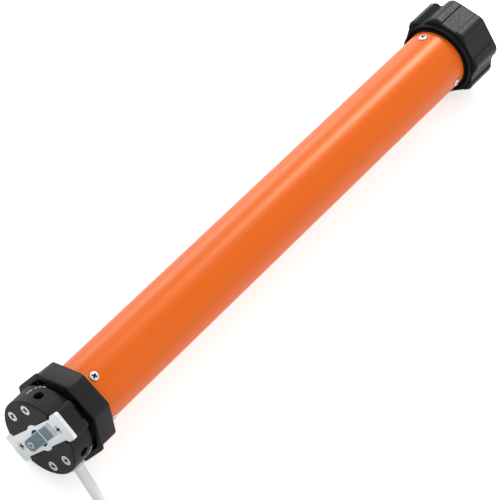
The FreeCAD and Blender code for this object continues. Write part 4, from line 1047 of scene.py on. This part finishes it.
        # Painted shade: the collar and the near annulus are painted dark all round.
        collar_rows = np.array([place < body + 0.02 for place, _ in rows])
        shell = Shell("drive_wheel_moulding")
        shell.add_profile(rows, turn, np.maximum(collar_rows[:, None], self.seam_painted_shade(turn)))
        low = (floor - 0.5, -0.5 * self.rib, 0.8 * self.hub)
        high = (self.rib_end, 0.5 * self.rib, 0.5 * self.hollow + 1.2)
        shell.add_ribs(low, high, 0.0)
        return shell.finish("drive", ["drive_wheel"], "wheel_plastic", WHEEL_PLASTIC, self.sharp)


@dataclass(frozen=True)
class WheelFasteners:
    """The washer and the screw that hold the drive wheel on its shaft."""

    seat: float = 453.0
    thickness: float = 1.5
    radius: float = 8.5
    hole: float = 2.15
    edge: float = 0.25
    spin: float = 0.4
    screw: Screw = Screw(Head.PAN, head_radius=4.4, rise=2.6, shank_radius=2.1, length=12.5, cross=2.2)

    def build(self) -> list[bpy.types.Object]:
        """The washer, with softened edges, and the screw on it."""
        edge, back, rim, hole = self.edge, self.seat, self.radius, self.hole
        front = back + self.thickness
        washer = Shell("wheel_washer_disc")
        washer.add_profile([
            (back, hole + edge), (back, rim - edge), (back + edge, rim), (front - edge, rim),
            (front, rim - edge), (front, hole + edge), (front - edge, hole), (back + edge, hole),
        ], full_turn(self.screw.columns))
        grid, painted_light_and_wear = self.screw.grid()
        local = np.stack([front + grid[..., 2], grid[..., 0], grid[..., 1]], axis=-1)
        screw = Shell("wheel_screw_steel")
        screw.add_grid(turned_up(local, self.spin), painted_light_and_wear)
        return [
            washer.finish("drive", ["wheel_washer"], "zinc_screw", ZINC_SCREW),
            screw.finish("drive", ["wheel_screw"], "zinc_screw", ZINC_SCREW, 40.0),
        ]


@dataclass(frozen=True)
class DialArc:
    """One printed arc on the head's rim, round an adjuster's well.

    The turns and the two angles round the well are in degrees, and the rest is in millimetres.
    """

    well_place: float
    well_turn: float
    radius: float
    first: float
    last: float
    width: float = 0.6


@dataclass(frozen=True)
class DialMarks:
    """Plain white arcs beside the two adjusters, which show that they turn."""

    head_radius: float = 27.8
    stand: float = 0.03
    sunk: float = 0.02
    arcs: tuple[DialArc, ...] = (
        DialArc(8.2, -25.2, 8.5, -3.0, 30.0),
        DialArc(8.2, -25.2, 8.5, 38.0, 50.0),
        DialArc(8.2, -25.2, 8.5, 56.0, 70.0),
        DialArc(8.2, -25.2, 8.5, 76.0, 91.0),
        DialArc(8.2, 83.6, 8.0, 92.0, 142.0),
        DialArc(8.2, 83.6, 8.0, 150.0, 176.0),
    )

    def ribbon(self, arc: DialArc) -> Array:
        """A thin raised band on the rim's cylinder, as rows of closed sections.

        Its line is an arc round the well, with its along and around parts laid on the cylinder, and
        its section is a flat loop of four corners.
        """
        angle = np.radians(spread(arc.first, arc.last, 28))
        half = 0.5 * arc.width
        ends = np.ones_like(angle)
        ends[[0, -1]] = 0.0
        reach = arc.radius + np.outer(ends, [half, half, -half, -half])
        lift = np.outer(ends, [0.0, self.stand, self.stand, 0.0]) - self.sunk
        place = arc.well_place + reach * np.sin(angle)[:, None]
        around = reach * np.cos(angle)[:, None] / self.head_radius
        turn = math.radians(arc.well_turn) - around
        return around_axis(place, self.head_radius + lift, turn)

    def build(self) -> bpy.types.Object:
        """All arcs as one object."""
        shell = Shell("dial_arcs")
        for arc in self.arcs:
            shell.add_grid(self.ribbon(arc))
        return shell.finish("motor", [], "cable_sheath", PRINT)


# The cable

@dataclass(frozen=True)
class Cable:
    """The white supply cable: its run on the floor, its put-away coil, its end and its bare cores.

    Its points are in millimetres, and floor and upper are the heights of the coil's two layers.
    """

    diameter: float = 7.0
    exit: tuple[float, float, float] = (-220.023, -25.141, 19.276)
    run: tuple[tuple[float, float, float], ...] = (
        (-221.6, -36.6, 12.9), (-224.6, -49.4, 8.0), (-229.4, -62.0, 4.9), (-238.5, -71.8, 3.6),
        (-252.5, -77.5, 3.6), (-268.0, -79.5, 3.6), (-284.0, -79.8, 3.6), (-300.2, -79.9, 3.6),
    )
    tail: tuple[tuple[float, float, float], ...] = (
        (-373.5, -36.4, 7.8), (-379.1, -24.2, 4.7), (-382.7, -11.4, 3.6),
    )
    centre: tuple[float, float] = (-319.9, -30.0)
    coil_start: float = math.radians(-88.0)
    outer: float = 50.5
    pitch: float = 7.1
    floor: float = 3.6
    upper: float = 10.7
    turns_in: float = 3.0
    turns_up: float = 1.0
    turns_out: float = 3.198
    steps: int = 18
    length: float = 1.95
    core_radius: float = 1.1
    core_length: float = 26.0
    bare_length: float = 6.0
    core_rooted: float = 4.0
    core_spread: float = 0.004
    core_columns: int = 20

    def coil_points(self) -> Array:
        """Points of the coil: a spiral inwards, a turn that climbs, and a spiral outwards on top.

        The smooth line runs inside its points, so they stand further out by the stretch.
        """
        total = self.turns_in + self.turns_up + self.turns_out
        stretch = 1.0 / (0.25 + 0.75 * math.cos(math.pi / self.steps))
        gone = spread(0.0, total, int(total * self.steps) + 1)
        inward = np.minimum(gone, self.turns_in)
        outward = np.maximum(0.0, gone - self.turns_in - self.turns_up)
        climb = np.clip((gone - self.turns_in) / self.turns_up, 0.0, 1.0)
        radius = (self.outer + self.pitch * (outward - inward)) * stretch
        angle = self.coil_start - 2.0 * math.pi * gone
        return np.stack([
            self.centre[0] + radius * np.cos(angle),
            self.centre[1] + radius * np.sin(angle),
            self.floor + (self.upper - self.floor) * climb,
        ], axis=-1)

    def build_cores(self) -> list[bpy.types.Object]:
        """The four cores at the end, each a tube along its own slightly spread line, with a bare tip."""
        colours = {
            "core_brown": (0.16, 0.05, 0.02), "core_blue": (0.02, 0.12, 0.42),
            "core_black": (0.015, 0.015, 0.015), "core_green": (0.08, 0.35, 0.05),
        }
        end = np.array(self.tail[-1])
        onward = end - np.array(self.tail[-2])
        onward /= np.linalg.norm(onward)
        across = np.cross(onward, (0.0, 0.0, 1.0))
        across /= np.linalg.norm(across)
        above = np.cross(across, onward)
        made = []
        angle = full_turn(self.core_columns)
        for number, (name, colour) in enumerate(colours.items()):
            heading = math.radians(45.0 + 90.0 * number)
            shift = across * math.cos(heading) + above * math.sin(heading)
            stripped = self.core_length - self.bare_length
            along = np.concatenate([spread(-self.core_rooted, stripped, 14), [stripped],
                                    spread(stripped + 0.1, self.core_length, 5)])
            radius = np.where(along > stripped + 0.05, 0.55 * self.core_radius, self.core_radius)
            radius[[0, -1]] = 0.0
            bend = self.core_spread * np.clip(along, 0.0, None) ** 2 * abs(math.cos(heading))
            away = 0.25 * self.diameter + bend
            line = end + along[:, None] * onward + away[:, None] * shift
            ring = np.cos(angle)[:, None] * across + np.sin(angle)[:, None] * above
            shell = Shell(name)
            points = line[:, None, :] + radius[:, None, None] * ring[None, :, :]
            shell.add_grid(points / METRE)
            finish = Finish(name + "_insulation", colour, 0.4, scale=1500.0)
            made.append(shell.finish("motor", ["cable_cores"], "core_sheath", finish))
        return made

    def build(self) -> bpy.types.Object:
        """The cable as one smooth line with a round section."""
        data = bpy.data.curves.new("supply_cable", "CURVE")
        data.dimensions = "3D"
        route = np.concatenate([[self.exit], self.run, self.coil_points(), self.tail]) / METRE
        spline = data.splines.new("NURBS")
        spline.points.add(len(route) - 1)
        spline.points.foreach_set("co", np.column_stack([route, np.ones(len(route))]).ravel())
        spline.order_u = 3
        spline.use_endpoint_u = True
        data.resolution_u = 6
        data.bevel_depth = 0.5 * self.diameter / METRE
        data.bevel_resolution = 5
        data.use_fill_caps = True
        thing = placed("supply_cable", data)
        hand_over(thing, "motor", ["cable_tube", "cable_coil", "cable_tail"], SHEATH)
        cores = self.build_cores()
        return thing


# Finishes of the solids that stay

SOLID_FINISHES: dict[str, Finish] = {
    "head_housing": HEAD_PLASTIC, "face_cover_front": HEAD_PLASTIC, "face_cover_rear": HEAD_PLASTIC,
    "limit_adjuster_upper": DARK_PLASTIC, "limit_adjuster_lower": DARK_PLASTIC,
    "bracket_plate": ZINC_PLATE,
}


def dress_solids() -> None:
    """Gives every solid of the frame its finish, by its own name or by its slot in the record."""
    slots = {part["node"]: part["material_slot"] for part in frame["record"]["subparts"]}
    for name, thing in frame["nodes"].items():
        finish = SOLID_FINISHES.get(name) or INNER_FINISHES.get(slots[name])
        if finish is None:
            continue
        dress(thing, finish)
        LOG.info("%s is dressed as %s", name, finish.name)


# The studio

@dataclass(frozen=True)
class Lamp:
    """A square soft lamp."""

    name: str
    place: tuple[float, float, float]
    width: float
    power: float


@dataclass(frozen=True)
class Studio:
    """White floor, soft lamps and the camera at the photograph's angle.

    The floor and the room give a part of their light to all rays, and more to the camera's rays and
    to reflections, so that both look plain white.
    """

    camera_place: tuple[float, float, float] = (-0.9747, -0.4745, 1.3442)
    forward: tuple[float, float, float] = (0.56403, 0.27775, -0.77764)
    rightward: tuple[float, float, float] = (0.59596, -0.78878, 0.15053)
    lens: float = 187.9
    sensor: float = 36.0
    floor_width: float = 12.0
    floor_tilt: float = math.radians(0.52)
    floor_pivot: float = -0.208
    floor_seen: float = 0.55
    floor_mirrored: float = 0.25
    room_strength: float = 0.66
    aim: tuple[float, float, float] = (0.0, 0.0, 0.03)
    lamps: tuple[Lamp, ...] = (
        Lamp("streak_lamp", (1.55, 0.78, 1.42), 0.45, 20.0),
        Lamp("back_lamp", (1.1, 1.7, 0.45), 0.7, 6.0),
        Lamp("side_lamp", (0.2, -1.9, 0.9), 1.0, 6.0),
    )

    def build_camera(self) -> None:
        """The camera, from its place and two of its directions."""
        data = bpy.data.cameras.new("photo_camera")
        data.lens = self.lens
        data.sensor_width = self.sensor
        data.clip_start = 0.05
        data.clip_end = 50.0
        camera = placed("photo_camera", data)
        forward = Vector(self.forward).normalized()
        rightward = Vector(self.rightward)
        rightward = (rightward - forward * rightward.dot(forward)).normalized()
        upward = rightward.cross(forward)
        turn = Matrix((rightward, upward, -forward)).transposed().to_4x4()
        camera.matrix_world = Matrix.Translation(self.camera_place) @ turn
        bpy.context.scene.camera = camera

    def build_floor(self) -> None:
        """A white floor, tilted so that the crown and the wheel both stand on it."""
        half = 0.5 * self.floor_width
        across = np.array([[-half, -half], [half, -half], [half, half], [-half, half]])
        height = (across[:, 0] - self.floor_pivot) * math.tan(self.floor_tilt) - 0.0001
        points = np.column_stack([across, height])
        mesh = bpy.data.meshes.new("floor")
        mesh.from_pydata(points.tolist(), [], [(0, 1, 2, 3)])
        material = bpy.data.materials.new("white_floor")
        recipe = Recipe(material)
        glow = recipe.ray("Camera") * self.floor_seen + recipe.ray("Glossy") * self.floor_mirrored
        recipe.surface(Base_Color=(0.9, 0.9, 0.9, 1.0), Roughness=0.9, Specular_IOR_Level=0.0,
                       Emission_Color=(1.0, 1.0, 1.0, 1.0), Emission_Strength=glow)
        mesh.materials.append(material)
        placed("floor", mesh)

    def build_world(self) -> None:
        """A soft white room that is plain white to the camera and in reflections."""
        world = bpy.data.worlds.new("room")
        bpy.context.scene.world = world
        recipe = Recipe(world, "ShaderNodeBackground", "ShaderNodeOutputWorld")
        seen = recipe.ray("Camera") + recipe.ray("Glossy")
        strength = seen * (1.0 - self.room_strength) + self.room_strength
        recipe.surface(Color=(1.0, 1.0, 1.0, 1.0), Strength=strength)

    def build_lamps(self) -> None:
        """The soft lamps, each turned to the motor."""
        for lamp in self.lamps:
            data = bpy.data.lights.new(lamp.name, "AREA")
            data.energy = lamp.power
            data.size = lamp.width
            thing = placed(lamp.name, data)
            thing.location = lamp.place
            way = Vector(self.aim) - Vector(lamp.place)
            thing.rotation_euler = way.to_track_quat("-Z", "Y").to_euler()

    def build(self) -> None:
        """Everything that isn't the motor."""
        self.build_camera()
        self.build_floor()
        self.build_world()
        self.build_lamps()
        bpy.context.scene.view_settings.view_transform = "Standard"


def main() -> None:
    """Builds the studio, the cable and every piece of the motor."""
    logging.basicConfig(level=logging.INFO, format="%(name)s: %(message)s")
    Studio().build()
    Cable().build()
    screws = TubeScrews()
    MotorTube().build(screws)
    screws.build()
    HeadScrews().build()
    Latch().build()
    Crown().build()
    DriveWheel().build()
    WheelFasteners().build()
    DialMarks().build()
    dress_solids()


if __name__ == "__main__":
    main()
